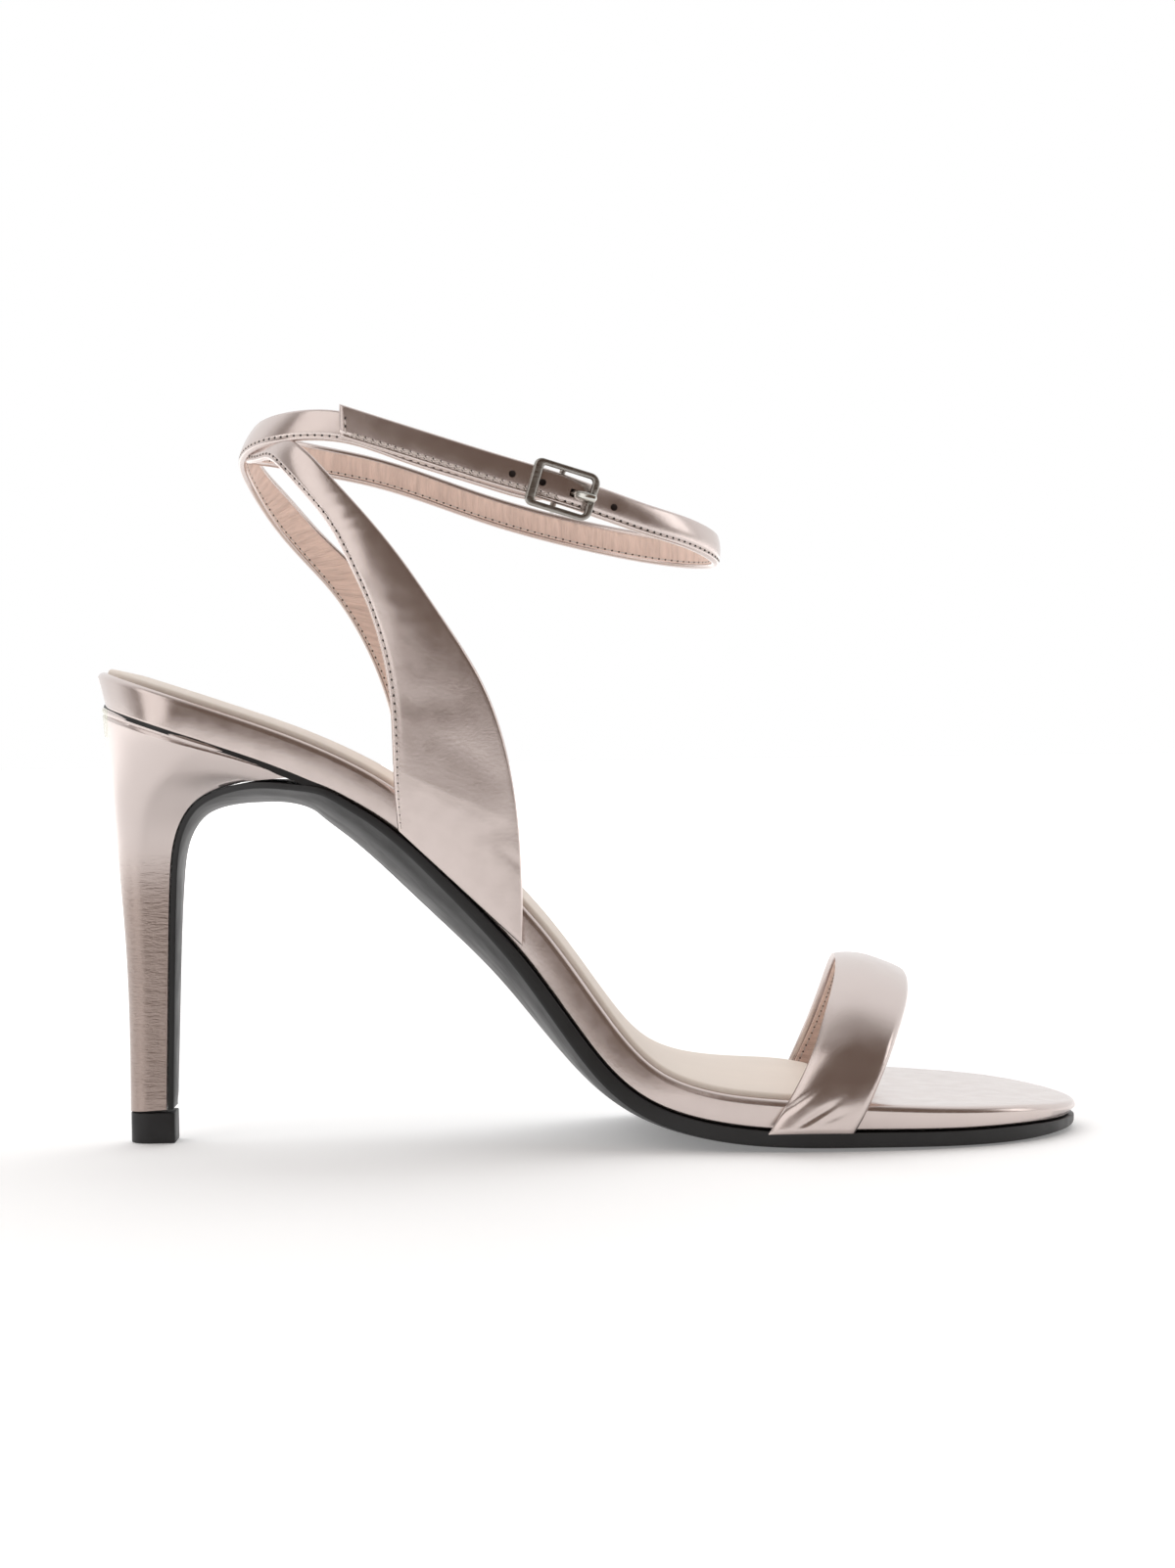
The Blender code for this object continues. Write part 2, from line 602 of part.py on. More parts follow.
def combine(target, other, operation):
    """Exact Boolean, applied at once, with the other object removed."""
    modifier = target.modifiers.new(operation.lower(), "BOOLEAN")
    modifier.operation = operation
    modifier.solver = "EXACT"
    modifier.object = other
    bpy.context.view_layer.update()
    whole = bpy.context.evaluated_depsgraph_get()
    done = bpy.data.meshes.new_from_object(target.evaluated_get(whole))
    target.modifiers.clear()
    work = bmesh.new()
    work.from_mesh(done)
    bmesh.ops.remove_doubles(work, verts=work.verts, dist=0.002 * MM)
    bmesh.ops.dissolve_degenerate(work, edges=work.edges, dist=0.002 * MM)
    work.to_mesh(done)
    work.free()
    target.data = done
    bpy.data.objects.remove(other, do_unlink=True)


def punch(target, x, z, radius, y=-25.0, depth=12.0):
    """Round hole straight through the near side of the strap."""
    bpy.ops.mesh.primitive_cylinder_add(vertices=16, radius=radius * MM, depth=depth * MM)
    cutter = bpy.context.object
    cutter.data.transform(Matrix.Rotation(math.pi / 2, 4, "X"))
    middle = (x + CENTRE_SHIFT[0], y + CENTRE_SHIFT[1], z)
    cutter.data.transform(Matrix.Translation([part * MM for part in middle]))
    cutter.hide_render = True
    cutter.display_type = "WIRE"
    combine(target, cutter, "DIFFERENCE")


def make_upper():
    """Both quarters and the ankle strap, one solid joined where they cross."""
    low = list(LATERAL_WING) + ring_rows(LOW_RING) + near_rows(NEAR_TAIL)
    fold = [tuple(at_buckle(HINGE_ALONG - 1.4, up, HINGE_DEPTH)) for up in (-FOLD_HALF, FOLD_HALF)]
    high = list(MEDIAL_WING) + ring_rows(HIGH_RING) + near_rows(NEAR_INNER) + [fold[0] + fold[1]]
    lateral = ribbon("upper", "metal_leather", low, 88, STRAP_THICK, WING_BELLY)
    for x, z, radius in HOLES:
        punch(lateral, x, z, radius)
    combine(lateral, block("prong_slot", (3.9, 2.4, 7.0), (2.75, 0.0, -1.0)), "DIFFERENCE")
    medial = ribbon("medial_strap", "metal_leather", high, 52, STRAP_THICK, -WING_BELLY)
    combine(medial, block("prong_notch", (3.4, 2.4, 6.0), (-0.6, 0.0, -3.9)), "DIFFERENCE")
    for start, end in SLEEVE_ENDS:
        combine(medial, sleeve("fold", "metal_leather", start, end, SLEEVE_OUTER, SLEEVE_INNER), "UNION")
    combine(lateral, medial, "UNION")
    return lateral


def make_toe_strap():
    """One wide soft strap over the toes."""
    return ribbon("toe_strap", "metal_leather", TOE_STRAP, 34, TOE_STRAP_THICK, 0.9)


def make_buckle_frame():
    """Four sided frame with the hinge bar set back behind the strap."""
    long, tall, corner = BUCKLE_LONG / 2, BUCKLE_TALL / 2, BUCKLE_CORNER
    outer, inner = [], []
    for quarter, (sx, sy) in enumerate(((1, 1), (-1, 1), (-1, -1), (1, -1))):
        bar = BAR_RIGHT if sx > 0 else BAR_LEFT
        for step in range(5):
            turn = math.pi / 2 * (quarter + step / 4)
            c, s = math.cos(turn), math.sin(turn)
            outer.append((sx * (long - corner) + corner * c, sy * (tall - corner) + corner * s))
            inner_x = sx * (long - bar - BUCKLE_INSIDE) + BUCKLE_INSIDE * c
            inner_y = sy * (tall - BAR_SIDE - BUCKLE_INSIDE) + BUCKLE_INSIDE * s
            inner.append((inner_x, inner_y))
    half = BAR_THICK / 2
    flat = half - BUCKLE_SOFT
    verts = []
    rings = (
        (outer, 0.0, -flat),
        (outer, 0.0, flat),
        (outer, BUCKLE_SOFT, half),
        (inner, -BUCKLE_SOFT, half),
        (inner, 0.0, flat),
        (inner, 0.0, -flat),
        (inner, -BUCKLE_SOFT, -half),
        (outer, BUCKLE_SOFT, -half),
    )
    for ring, inset, out in rings:
        for a, u in ring:
            size = math.hypot(a, u)
            verts.append(tuple(at_buckle(a - inset * a / size, u - inset * u / size, out)))
    count = len(outer)
    faces = []
    for ring in range(len(rings)):
        for i in range(count):
            j = (i + 1) % count
            p, q = ring * count, ((ring + 1) % len(rings)) * count
            faces.append((p + i, p + j, q + j, q + i))
    frame = mesh_object("buckle_frame", "nickel", verts, faces)
    rail = tall - BAR_SIDE / 2
    route = [
        (HINGE_ALONG, rail, -flat),
        (HINGE_ALONG, rail, HINGE_DEPTH + 0.5),
        (HINGE_ALONG, rail - 0.5, HINGE_DEPTH),
    ]
    route += [(a, -u, o) for a, u, o in route[::-1]]
    bar = tube("hinge_bar", route, [HINGE_RADIUS] * len(route))
    combine(frame, bar, "UNION")
    return frame


def tube(name, route, radii, around=12):
    """Round bar along a route given in the buckle's directions."""
    points = [at_buckle(*p) for p in route]
    verts = []
    for i, point in enumerate(points):
        ahead = (points[min(i + 1, len(points) - 1)] - points[max(i - 1, 0)]).normalized()
        side = buckle_axes()[1]
        if abs(side.dot(ahead)) > 0.8 or name == "buckle_prong":
            side = buckle_axes()[2]
        side = (side - ahead * side.dot(ahead)).normalized()
        other = ahead.cross(side)
        for k in range(around):
            turn = 2 * math.pi * k / around
            verts.append(tuple(point + (side * math.cos(turn) + other * math.sin(turn)) * radii[i]))
    last = (len(points) - 1) * around
    faces = [tuple(range(around)), tuple(range(last, last + around))]
    for i in range(len(points) - 1):
        for k in range(around):
            m = (k + 1) % around
            faces.append((i * around + k, i * around + m, (i + 1) * around + m, (i + 1) * around + k))
    return mesh_object(name, "nickel", verts, faces)


def make_prong():
    """Prong from the hinge bar through the strap to the frame."""
    rows = through(PRONG, 14)
    prong = tube("buckle_prong", [tuple(row[:3]) for row in rows], [float(row[3]) for row in rows])
    eye = sleeve("prong_eye", "nickel", -0.85, 0.85, 1.55, SLEEVE_INNER)
    combine(prong, eye, "UNION")
    return prong


def main():
    """Build every piece."""
    clear_scene()
    line = bed_line()
    path = sole_line(line)
    make_outsole(path)
    make_top_piece()
    make_heel(line, path)
    make_insole(line)
    make_sock(line)
    make_toe_strap()
    make_upper()
    make_buckle_frame()
    make_prong()


main()
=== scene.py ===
"""Looks of the ankle strap sandal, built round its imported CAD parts.

Shapes are surfaces on grids, worked out in millimetres in the part's own frame:
toe +X, medial side +Y, up +Z, with heel tip and forefoot on z = 0. A sole piece
is a slab bent along a side view line. A strap is a band through sections that
each join a rear or lower edge to a front or upper edge. Every line runs
smoothly through the rows of its table.
"""
import math

import bpy
import numpy as np
from bpy.props import FloatProperty, FloatVectorProperty, PointerProperty
from mathutils import Matrix, Vector


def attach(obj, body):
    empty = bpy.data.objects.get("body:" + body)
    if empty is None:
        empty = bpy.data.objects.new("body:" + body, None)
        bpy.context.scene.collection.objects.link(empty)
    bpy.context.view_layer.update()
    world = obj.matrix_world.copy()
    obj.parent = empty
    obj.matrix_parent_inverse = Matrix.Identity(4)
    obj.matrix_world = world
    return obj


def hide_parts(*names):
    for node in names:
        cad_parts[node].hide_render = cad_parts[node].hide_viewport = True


bl_info = {
    "name": "Ankle strap sandal",
    "version": (1, 0, 0),
    "blender": (4, 5, 0),
    "location": "3D View > Sidebar > Sandal",
    "description": "Leather, linings, stitches, sole and buckle of a high heel sandal",
    "category": "Object",
}

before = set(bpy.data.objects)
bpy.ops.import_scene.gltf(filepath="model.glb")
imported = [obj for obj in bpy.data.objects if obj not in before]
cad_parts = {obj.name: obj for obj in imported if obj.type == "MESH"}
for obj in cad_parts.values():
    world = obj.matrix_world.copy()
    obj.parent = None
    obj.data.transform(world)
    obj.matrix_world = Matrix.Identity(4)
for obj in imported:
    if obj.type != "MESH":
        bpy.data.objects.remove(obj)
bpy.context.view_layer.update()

MM = 0.001
GAP = 0.3
SHARP = math.radians(40.0)
WHITE = (1.0, 1.0, 1.0, 1.0)
FOIL = 0.92
CENTRE_SHIFT = (-0.945, -0.94)

# Top line of the insole, seen from the side, from heel to toe.
BED_COLUMNS = ("x", "z", "lat", "med", "thick", "reach", "edge", "belly")
BED = (
    (-106.4, 104.4, 24.6, 24.6, 7.2, -1.0, 1.5, 3.0),
    (-92.0, 99.6, 24.8, 24.8, 7.3, -1.0, 1.5, 3.0),
    (-78.0, 94.8, 24.8, 24.8, 7.3, -1.0, 1.5, 3.2),
    (-64.0, 89.7, 24.2, 24.0, 7.3, -1.0, 1.5, 3.4),
    (-52.0, 84.3, 23.4, 23.0, 7.3, 0.0, 1.6, 5.0),
    (-39.0, 76.4, 22.8, 22.3, 7.3, 1.2, 1.9, 6.4),
    (-24.0, 62.7, 22.5, 22.0, 7.2, 1.5, 2.4, 6.4),
    (-9.0, 46.2, 23.0, 22.7, 7.0, 1.2, 2.8, 5.2),
    (4.0, 28.0, 25.5, 25.6, 6.8, 0.5, 3.1, 3.6),
    (14.6, 16.8, 29.0, 29.6, 6.6, 0.0, 3.3, 2.4),
    (25.0, 12.9, 32.8, 33.6, 6.4, 0.0, 3.4, 2.0),
    (37.0, 11.3, 35.4, 37.0, 6.4, 0.0, 3.4, 2.0),
    (58.0, 9.9, 36.4, 38.6, 5.6, 0.0, 3.3, 1.8),
    (80.0, 8.6, 36.4, 38.6, 4.7, 0.0, 3.2, 1.2),
    (95.0, 7.7, 36.4, 38.6, 3.9, 0.0, 3.0, 0.6),
    (108.6, 6.1, 36.4, 38.6, 2.9, 0.0, 1.8, 0.2),
)
TOE_REACH, TOE_POWER, TOE_ROOT = 56.0, 2.6, 1.9
HEEL_REACH, HEEL_POWER, HEEL_ROOT = 24.0, 2.2, 2.0
SEAT_LEAN, SEAT_LEAN_REACH = 2.5, 26.0

# First station from a pointed end, and where the outsole leaves the insole for the heel.
END_STEP, SOLE_TURN = 0.12, -53.0

# Front of the heel and the sections behind it, from the seat down to the tip.
# x, z, half, edge, belly, back_x, back_z, the heel's widest half and how far its back is round.
BREAST = (
    (-62.0, 79.0, 22.0, 1.5, 3.5, -106.0, 96.7, 24.2, 23.0),
    (-71.0, 79.6, 19.5, 1.5, 3.3, -105.8, 93.4, 22.8, 20.0),
    (-79.3, 78.1, 15.5, 1.5, 2.6, -105.4, 88.4, 20.0, 16.0),
    (-85.4, 74.7, 11.8, 1.4, 1.8, -104.8, 81.0, 15.8, 11.0),
    (-89.2, 68.6, 9.2, 1.3, 1.1, -104.0, 71.5, 11.0, 7.6),
    (-91.0, 58.0, 7.2, 1.3, 0.8, -102.9, 57.8, 7.7, 5.8),
    (-91.9, 38.0, 5.6, 1.3, 0.6, -101.7, 38.0, 5.8, 4.8),
    (-92.5, 20.0, 4.8, 1.3, 0.5, -101.4, 20.0, 5.0, 4.4),
    (-92.9, 7.4, 4.3, 1.3, 0.4, -101.5, 7.0, 4.6, 4.2),
)
TIP_HEIGHT, TIP_LENGTH, TIP_HALF, TIP_BACK = 6.7, 10.0, 4.6, -101.4
D_POWER, HEEL_TOP_SHARE = 0.9, 0.045
TURNED_IN, HEEL_GROOVE, BACK_SEAM, RAND_INSET = 0.45, 0.34, 0.10, 1.25

SOCK_FRONT, SOCK_INSET, SOCK_CROWN = 52.0, 1.9, 0.5

# Sock: where its side ends, its top and how far its edge is round. Insole: its
# bottom and top edge and its lean. Outsole: rows of inset, share down and height.
SOCK_EDGE = (0.45, 1.2, 1.1)
INSOLE_RIM = ((0.4, 0.6), (1.4, 1.5), 0.95)
SOLE_RIM = (
    (0.55, (1.0, 0.0)), (0.2, (1.0, 0.12)), (0.05, (1.0, 0.35)), (0.0, (1.0, 0.6)),
    (0.0, (0.0, -0.12)), (0.12, (0.0, 0.0)),
)
STRAP_THICK, TOE_STRAP_THICK = 1.7, 1.8
WING_BELLY, TOE_BELLY, NARROW_DOME = 1.3, 0.9, 0.32
STITCH_GROOVE = 0.13

# Linings: start and end, depth inside the strap, height past it, sections, round
# edge, inset and points across.
QUARTER_LINING = (0.012, 0.992, 0.3, 0.14, 500, 0.3, 0.65, 16)
TOE_LINING = (0.02, 0.98, 0.3, 0.2, 150, 0.3, 1.3, 20)

# Sections of the straps: x, y, z of the rear or lower edge a, then of the front or
# upper edge b.
LATERAL_WING = (
    (-40.5, -24.2, 68.8, -14.3, -24.4, 43.7),
    (-41.1, -24.9, 77.0, -14.3, -25.3, 60.0),
    (-41.4, -25.7, 88.5, -16.2, -27.0, 81.0),
    (-42.4, -26.4, 102.5, -21.6, -28.8, 99.3),
    (-45.9, -26.6, 116.3, -30.5, -29.3, 114.4),
    (-50.0, -26.2, 125.9, -39.0, -28.2, 127.0),
    (-54.8, -24.2, 135.0, -46.5, -26.2, 136.5),
    (-60.8, -21.2, 142.5, -53.6, -23.6, 144.6),
    (-66.0, -16.6, 148.2, -60.6, -19.2, 151.8),
)
MEDIAL_WING = (
    (-40.5, 24.1, 68.8, -14.3, 24.2, 43.7),
    (-41.4, 24.9, 78.5, -14.9, 25.2, 61.5),
    (-43.4, 25.8, 92.5, -18.6, 27.0, 83.5),
    (-47.6, 26.3, 105.8, -26.5, 28.2, 99.8),
    (-53.4, 26.0, 117.2, -37.0, 28.2, 113.2),
    (-60.0, 24.3, 126.0, -49.6, 26.8, 126.8),
    (-66.5, 21.2, 133.4, -59.3, 23.8, 136.6),
    (-71.6, 16.6, 140.6, -66.2, 18.8, 144.6),
    (-74.3, 9.4, 146.4, -71.8, 11.6, 151.6),
)

# Ankle strap round the back of the leg: degrees from the front over the medial
# side, middle, height, how far its lower edge lies from the leg's outline, and
# how much nearer to the leg its upper edge lies.
LEG_X, LEG_LONG, LEG_WIDE = -21.7, 51.4, 26.0
LOW_RING = (
    (-160.0, 152.4, 6.6, 0.0, 2.6),
    (180.0, 152.8, 6.4, 0.0, 3.2),
    (160.0, 153.2, 6.6, 0.0, 2.6),
    (140.0, 152.2, 6.8, 0.0, 1.2),
    (118.0, 149.4, 6.9, 0.0, 0.3),
    (90.0, 141.3, 6.9, 0.0, 0.0),
    (62.0, 134.2, 6.9, 0.0, 0.0),
    (36.0, 130.2, 6.9, 0.0, 0.0),
    (14.0, 128.9, 6.8, 0.0, 0.0),
    (-8.0, 129.4, 6.8, 0.0, 0.0),
    (-30.0, 132.1, 6.7, 0.1, 0.0),
    (-47.0, 134.7, 6.7, 0.6, 0.0),
)
HIGH_RING = (
    (180.0, 152.9, 6.4, 1.4, 3.2),
    (-157.0, 154.9, 6.4, 1.4, 2.6),
    (-141.0, 155.8, 6.5, 1.4, 1.0),
)
# x, y, middle, height
NEAR_TAIL = (
    (6.6, -22.9, 137.0, 6.8),
    (1.7, -25.1, 138.6, 6.8),
    (-4.8, -27.6, 140.8, 6.8),
    (-11.3, -27.6, 142.9, 6.9),
    (-18.0, -27.8, 144.9, 7.0),
    (-26.0, -27.8, 147.5, 7.0),
    (-38.0, -26.5, 151.6, 7.0),
    (-51.5, -24.4, 156.2, 7.2),
)
NEAR_INNER = (
    (-50.5, -22.0, 155.0, 6.7),
    (-38.0, -24.2, 150.6, 6.7),
    (-26.0, -25.7, 146.5, 6.7),
    (-18.0, -25.6, 143.9, 6.7),
    (-11.0, -25.2, 141.9, 6.2),
)
TOE_STRAP = (
    (36.5, -37.7, 4.2, 54.5, -37.9, 4.0),
    (38.6, -37.9, 7.5, 56.4, -37.7, 7.0),
    (41.6, -37.9, 12.5, 58.6, -37.2, 11.2),
    (45.6, -35.8, 19.6, 62.2, -34.4, 18.4),
    (49.6, -29.0, 28.2, 66.0, -27.6, 25.6),
    (53.3, -16.6, 35.6, 69.4, -15.6, 31.2),
    (55.3, 0.0, 38.9, 71.0, 0.0, 33.6),
    (55.9, 17.0, 36.3, 71.4, 16.0, 31.4),
    (55.0, 30.0, 28.8, 70.4, 28.6, 25.4),
    (52.4, 38.0, 19.4, 68.0, 36.2, 17.6),
    (49.4, 40.0, 12.2, 65.2, 38.8, 11.2),
    (47.4, 39.9, 7.5, 63.4, 39.5, 7.0),
    (46.6, 39.9, 4.2, 62.6, 39.6, 4.0),
)

# Buckle, placed at its middle and turned to lie along the strap.
BUCKLE_AT = (-4.4, -28.95, 140.6)
BUCKLE_SLOPE, BUCKLE_TURN = 17.0, 10.4
BUCKLE_LONG, BUCKLE_TALL, BUCKLE_CORNER = 14.8, 10.4, 1.6
BAR_LEFT, BAR_SIDE, BAR_RIGHT, BAR_THICK = 2.1, 1.3, 1.6, 1.8
HINGE_ALONG, HINGE_DEPTH, HINGE_RADIUS = -0.4, -3.9, 0.65
SLEEVE_OUTER, SLEEVE_INNER, FOLD_HALF = 1.75, 0.95, 2.6
SLEEVE_ENDS = ((-2.7, -1.2), (1.2, 2.7))
# along, up, out, radius
PRONG = (
    (0.7, 0.0, -3.6, 0.7),
    (1.9, 0.0, -2.4, 0.75),
    (3.0, 0.0, -0.8, 0.8),
    (4.2, 0.0, 0.9, 0.8),
    (5.6, 0.0, 1.75, 0.8),
    (7.3, 0.0, 1.95, 0.7),
)
# x, z, radius
HOLES = ((-15.0, 144.1, 0.75), (-8.6, 142.2, 0.75), (6.6, 137.1, 0.75))
PRONG_SWELL = 1.12

# What is cut for the holes and the slot, and the dark cores in them that stand for painted shade, as in
# hole_fillings.
PUNCHES = ((-32.0,) * 3, (-19.0,) * 3, 0.0, ((1.7, 4.4), (-0.85, 0.85), (-4.5, 2.5)))
HOLE_SHADE_CORES = (
    (-28.5, -28.5, -23.8), (-27.13, -27.13, -22.4), 0.15, ((1.5, 4.6), (-1.0, 1.0), (-2.4, -1.5)),
)

# Troughs pressed into the leather. along and across are shares of the strap,
# long and wide are in mm, turn is in degrees from across the strap.
# along, across, long, wide, turn, depth
WING_CREASES = (
    (0.238, 0.35, 3.0, 0.8, 8.0, 0.07),
    (0.246, 0.62, 2.6, 0.7, -12.0, 0.06),
    (0.256, 0.40, 2.6, 0.8, 6.0, 0.08),
    (0.266, 0.55, 2.4, 0.7, 12.0, 0.06),
    (0.190, 0.55, 7.0, 3.0, 28.0, 0.06),
    (0.118, 0.42, 9.0, 4.0, -18.0, 0.06),
    (0.085, 0.70, 9.0, 4.0, 22.0, 0.05),
    (0.052, 0.86, 5.0, 2.4, -30.0, 0.08),
    (0.040, 0.95, 4.0, 1.4, 10.0, 0.06),
)
TOE_CREASES = (
    (0.040, 0.42, 3.2, 0.7, -48.0, 0.40),
    (0.060, 0.12, 3.6, 0.8, -52.0, 0.35),
    (0.036, 0.62, 2.4, 0.7, -30.0, 0.14),
    (0.120, 0.60, 6.0, 3.0, -12.0, 0.10),
    (0.210, 0.40, 6.0, 3.4, 10.0, 0.10),
    (0.300, 0.66, 6.0, 3.2, -8.0, 0.08),
    (0.700, 0.45, 6.0, 3.0, 12.0, 0.10),
    (0.950, 0.35, 4.0, 0.8, 46.0, 0.35),
)

# Camera at the photo's place, in mm and degrees, and its focal length in
# pixels of a picture 1602 tall.
CAMERA_AT = (-18.0, -625.8, 89.6)
CAMERA_YAW, CAMERA_DIP, CAMERA_ROLL = -1.72, 1.09, -0.86
CAMERA_FOCAL, PICTURE_TALL, SENSOR = 2876.5, 1602.0, 36.0

# Middle of the round floor, in metres towards the medial side.
FLOOR_BACK = 3.5

# Where the cream glue edge at the top of the heel's back starts and ends, in metres.
GLUE_X, GLUE_Z = (-0.1050, -0.1041), (0.0893, 0.0900)


def natural_spline(t, values, wanted):
    """Cubic through values at t with no bend at its ends, read at wanted."""
    count = len(t)
    step = np.diff(t)
    matrix = np.eye(count)
    right = np.zeros_like(values)
    inner = np.arange(1, count - 1)
    matrix[inner, inner - 1] = step[:-1]
    matrix[inner, inner] = 2 * (step[:-1] + step[1:])
    matrix[inner, inner + 1] = step[1:]
    slope = np.diff(values, axis=0) / step[:, None]
    right[1:-1] = 6 * np.diff(slope, axis=0)
    bend = np.linalg.solve(matrix, right)
    k = np.clip(np.searchsorted(t, wanted, side="right") - 1, 0, count - 2)
    d = (wanted - t[k])[:, None]
    h = step[k][:, None]
    start = slope[k] - h * (2 * bend[k] + bend[k + 1]) / 6
    return values[k] + d * (start + d * (bend[k] / 2 + d * (bend[k + 1] - bend[k]) / (6 * h)))


def through(rows, share, spread):
    """Table rows read at shares of the line through their first spread columns."""
    values = np.array(rows, float)
    gaps = np.linalg.norm(np.diff(values[:, :spread], axis=0), axis=1)
    t = running(gaps)
    share = np.asarray(share, float)
    out = natural_spline(t, values, share.ravel() * t[-1])
    return out.reshape(share.shape + (values.shape[1],))


def side_line(rows, columns, samples=700):
    """Side view line with its length s, its normal and its other columns."""
    data = through(rows, np.linspace(0.0, 1.0, samples), 2)
    line = {name: data[:, i] for i, name in enumerate(columns)}
    run = np.hypot(np.diff(line["x"]), np.diff(line["z"]))
    line["s"] = running(run)
    tx = np.gradient(line["x"], line["s"])
    tz = np.gradient(line["z"], line["s"])
    size = np.hypot(tx, tz)
    line["nx"], line["nz"] = -tz / size, tx / size
    return line


def read(line, name, s):
    """Value of one column at length s."""
    return np.interp(s, line["s"], line[name])


def off_line(line, s, y, height):
    """Points height above a side view line, at y across it."""
    x = read(line, "x", s) + height * read(line, "nx", s)
    z = read(line, "z", s) + height * read(line, "nz", s)
    return np.stack([x, y, z], axis=-1)


def closing(distance, reach, power, root):
    """Factor that rounds an outline towards its end."""
    u = np.clip(distance / reach, 0.0, 1.0)
    return (1.0 - (1.0 - u) ** power) ** (1.0 / root)


def spaced(start, end, count, ease):
    """Stations that crowd towards both ends by ease, from 0 to 1."""
    t = np.linspace(0.0, 1.0, count)
    soft = 0.5 - 0.5 * np.cos(math.pi * t)
    return start + (end - start) * (t * (1 - ease) + soft * ease)


def bump_curve(x, wide):
    """Soft bell, 1 at its middle."""
    return np.exp(-((x / wide) ** 2))


def quarter_turn(count):
    """Angles of a quarter turn."""
    return np.linspace(0.0, math.pi / 2, count)


def circle(count):
    """Angles all round, with no end point."""
    return np.linspace(0.0, 2 * math.pi, count, endpoint=False)


def cos_sin(degrees):
    """Cosine and sine of an angle in degrees."""
    return math.cos(math.radians(degrees)), math.sin(math.radians(degrees))


def running(steps):
    """Sums of the steps so far, from 0."""
    return np.concatenate([[0.0], np.cumsum(steps)])


def unit(vectors):
    """Vectors at length 1."""
    return vectors / np.maximum(np.linalg.norm(vectors, axis=-1, keepdims=True), 1e-12)


def grid_faces(index):
    """Quads between the rows and columns of a grid of vertex numbers."""
    a, b = index[:-1, :-1], index[1:, :-1]
    c, d = index[1:, 1:], index[:-1, 1:]
    return np.stack([a, b, c, d], axis=-1).reshape(-1, 4)


def tube(rows, around, looped=False):
    """Vertex numbers of rings one after another, and the quads between them.

    looped joins the last ring to the first.
    """
    index = np.arange(rows * around).reshape(rows, around)
    net = np.concatenate([index, index[:1]]) if looped else index
    return index, grid_faces(np.concatenate([net, net[:, :1]], axis=1)).tolist()


def loop_cap(loop):
    """Ladder of quads across a closed loop whose two halves face each other."""
    half = len(loop) // 2
    one, two = loop[1:half], loop[:half:-1]
    quads = np.stack([one[:-1], one[1:], two[1:], two[:-1]], axis=-1)
    ends = [(loop[0], one[0], two[0]), (loop[half], two[-1], one[-1])]
    return quads.tolist() + [[int(i) for i in end] for end in ends]


def ladder_ends(index):
    """Ladders across the first and the last ring of a tube."""
    return loop_cap(index[0]) + [face[::-1] for face in loop_cap(index[-1])]


def signed_volume(verts, faces):
    """Volume inside a mesh, negative where its faces point inwards."""
    total = 0.0
    for size in (3, 4):
        some = np.array([f for f in faces if len(f) == size], int).reshape(-1, size)
        for k in range(1, size - 1):
            a, b, c = verts[some[:, 0]], verts[some[:, k]], verts[some[:, k + 1]]
            total += np.einsum("ij,ij->i", a, np.cross(b, c)).sum()
    return total


def new_object(name, mesh):
    """Object of a mesh, in the scene."""
    item = bpy.data.objects.new(name, mesh)
    bpy.context.scene.collection.objects.link(item)
    return item


def solid(name, verts, faces):
    """Object in metres of a closed shape in mm, with its faces turned outwards."""
    if signed_volume(verts, faces) < 0:
        faces = [face[::-1] for face in faces]
    mesh = bpy.data.meshes.new(name)
    mesh.from_pydata(((verts + (*CENTRE_SHIFT, 0.0)) * MM).tolist(), [], faces)
    return new_object(name, mesh)


def make_piece(name, shape, finish, nodes=()):
    """Smooth closed piece that rides on the sandal's body.

    A shape's third part holds each vertex's place along and across the leather.
    """
    verts, faces, *lay = shape
    piece = solid(name, verts, faces)
    mesh = piece.data
    if lay:
        flat = np.pad(lay[0].reshape(-1, 2) * MM, ((0, 0), (0, 1)))
        mesh.attributes.new("lay", "FLOAT_VECTOR", "POINT").data.foreach_set("vector", flat.ravel())
    mesh.materials.append(finish_of(finish))
    mesh.shade_smooth()
    mesh.set_sharp_from_angle(angle=SHARP)
    mesh.validate()
    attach(piece, "root")
    if nodes:
        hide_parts(*nodes)
    return piece


def join_shapes(shapes):
    """Many (verts, faces) shapes as one."""
    verts, faces, start = [], [], 0
    for some, tied in shapes:
        verts.append(some)
        faces += [[i + start for i in face] for face in tied]
        start += len(some)
    return np.concatenate(verts), faces


# Sole pieces


def inward(outline, inset):
    """Closed outline moved inwards by inset."""
    ahead = unit(np.roll(outline, -1, axis=0) - np.roll(outline, 1, axis=0))
    return outline + inset * np.stack([-ahead[:, 1], ahead[:, 0]], axis=1)


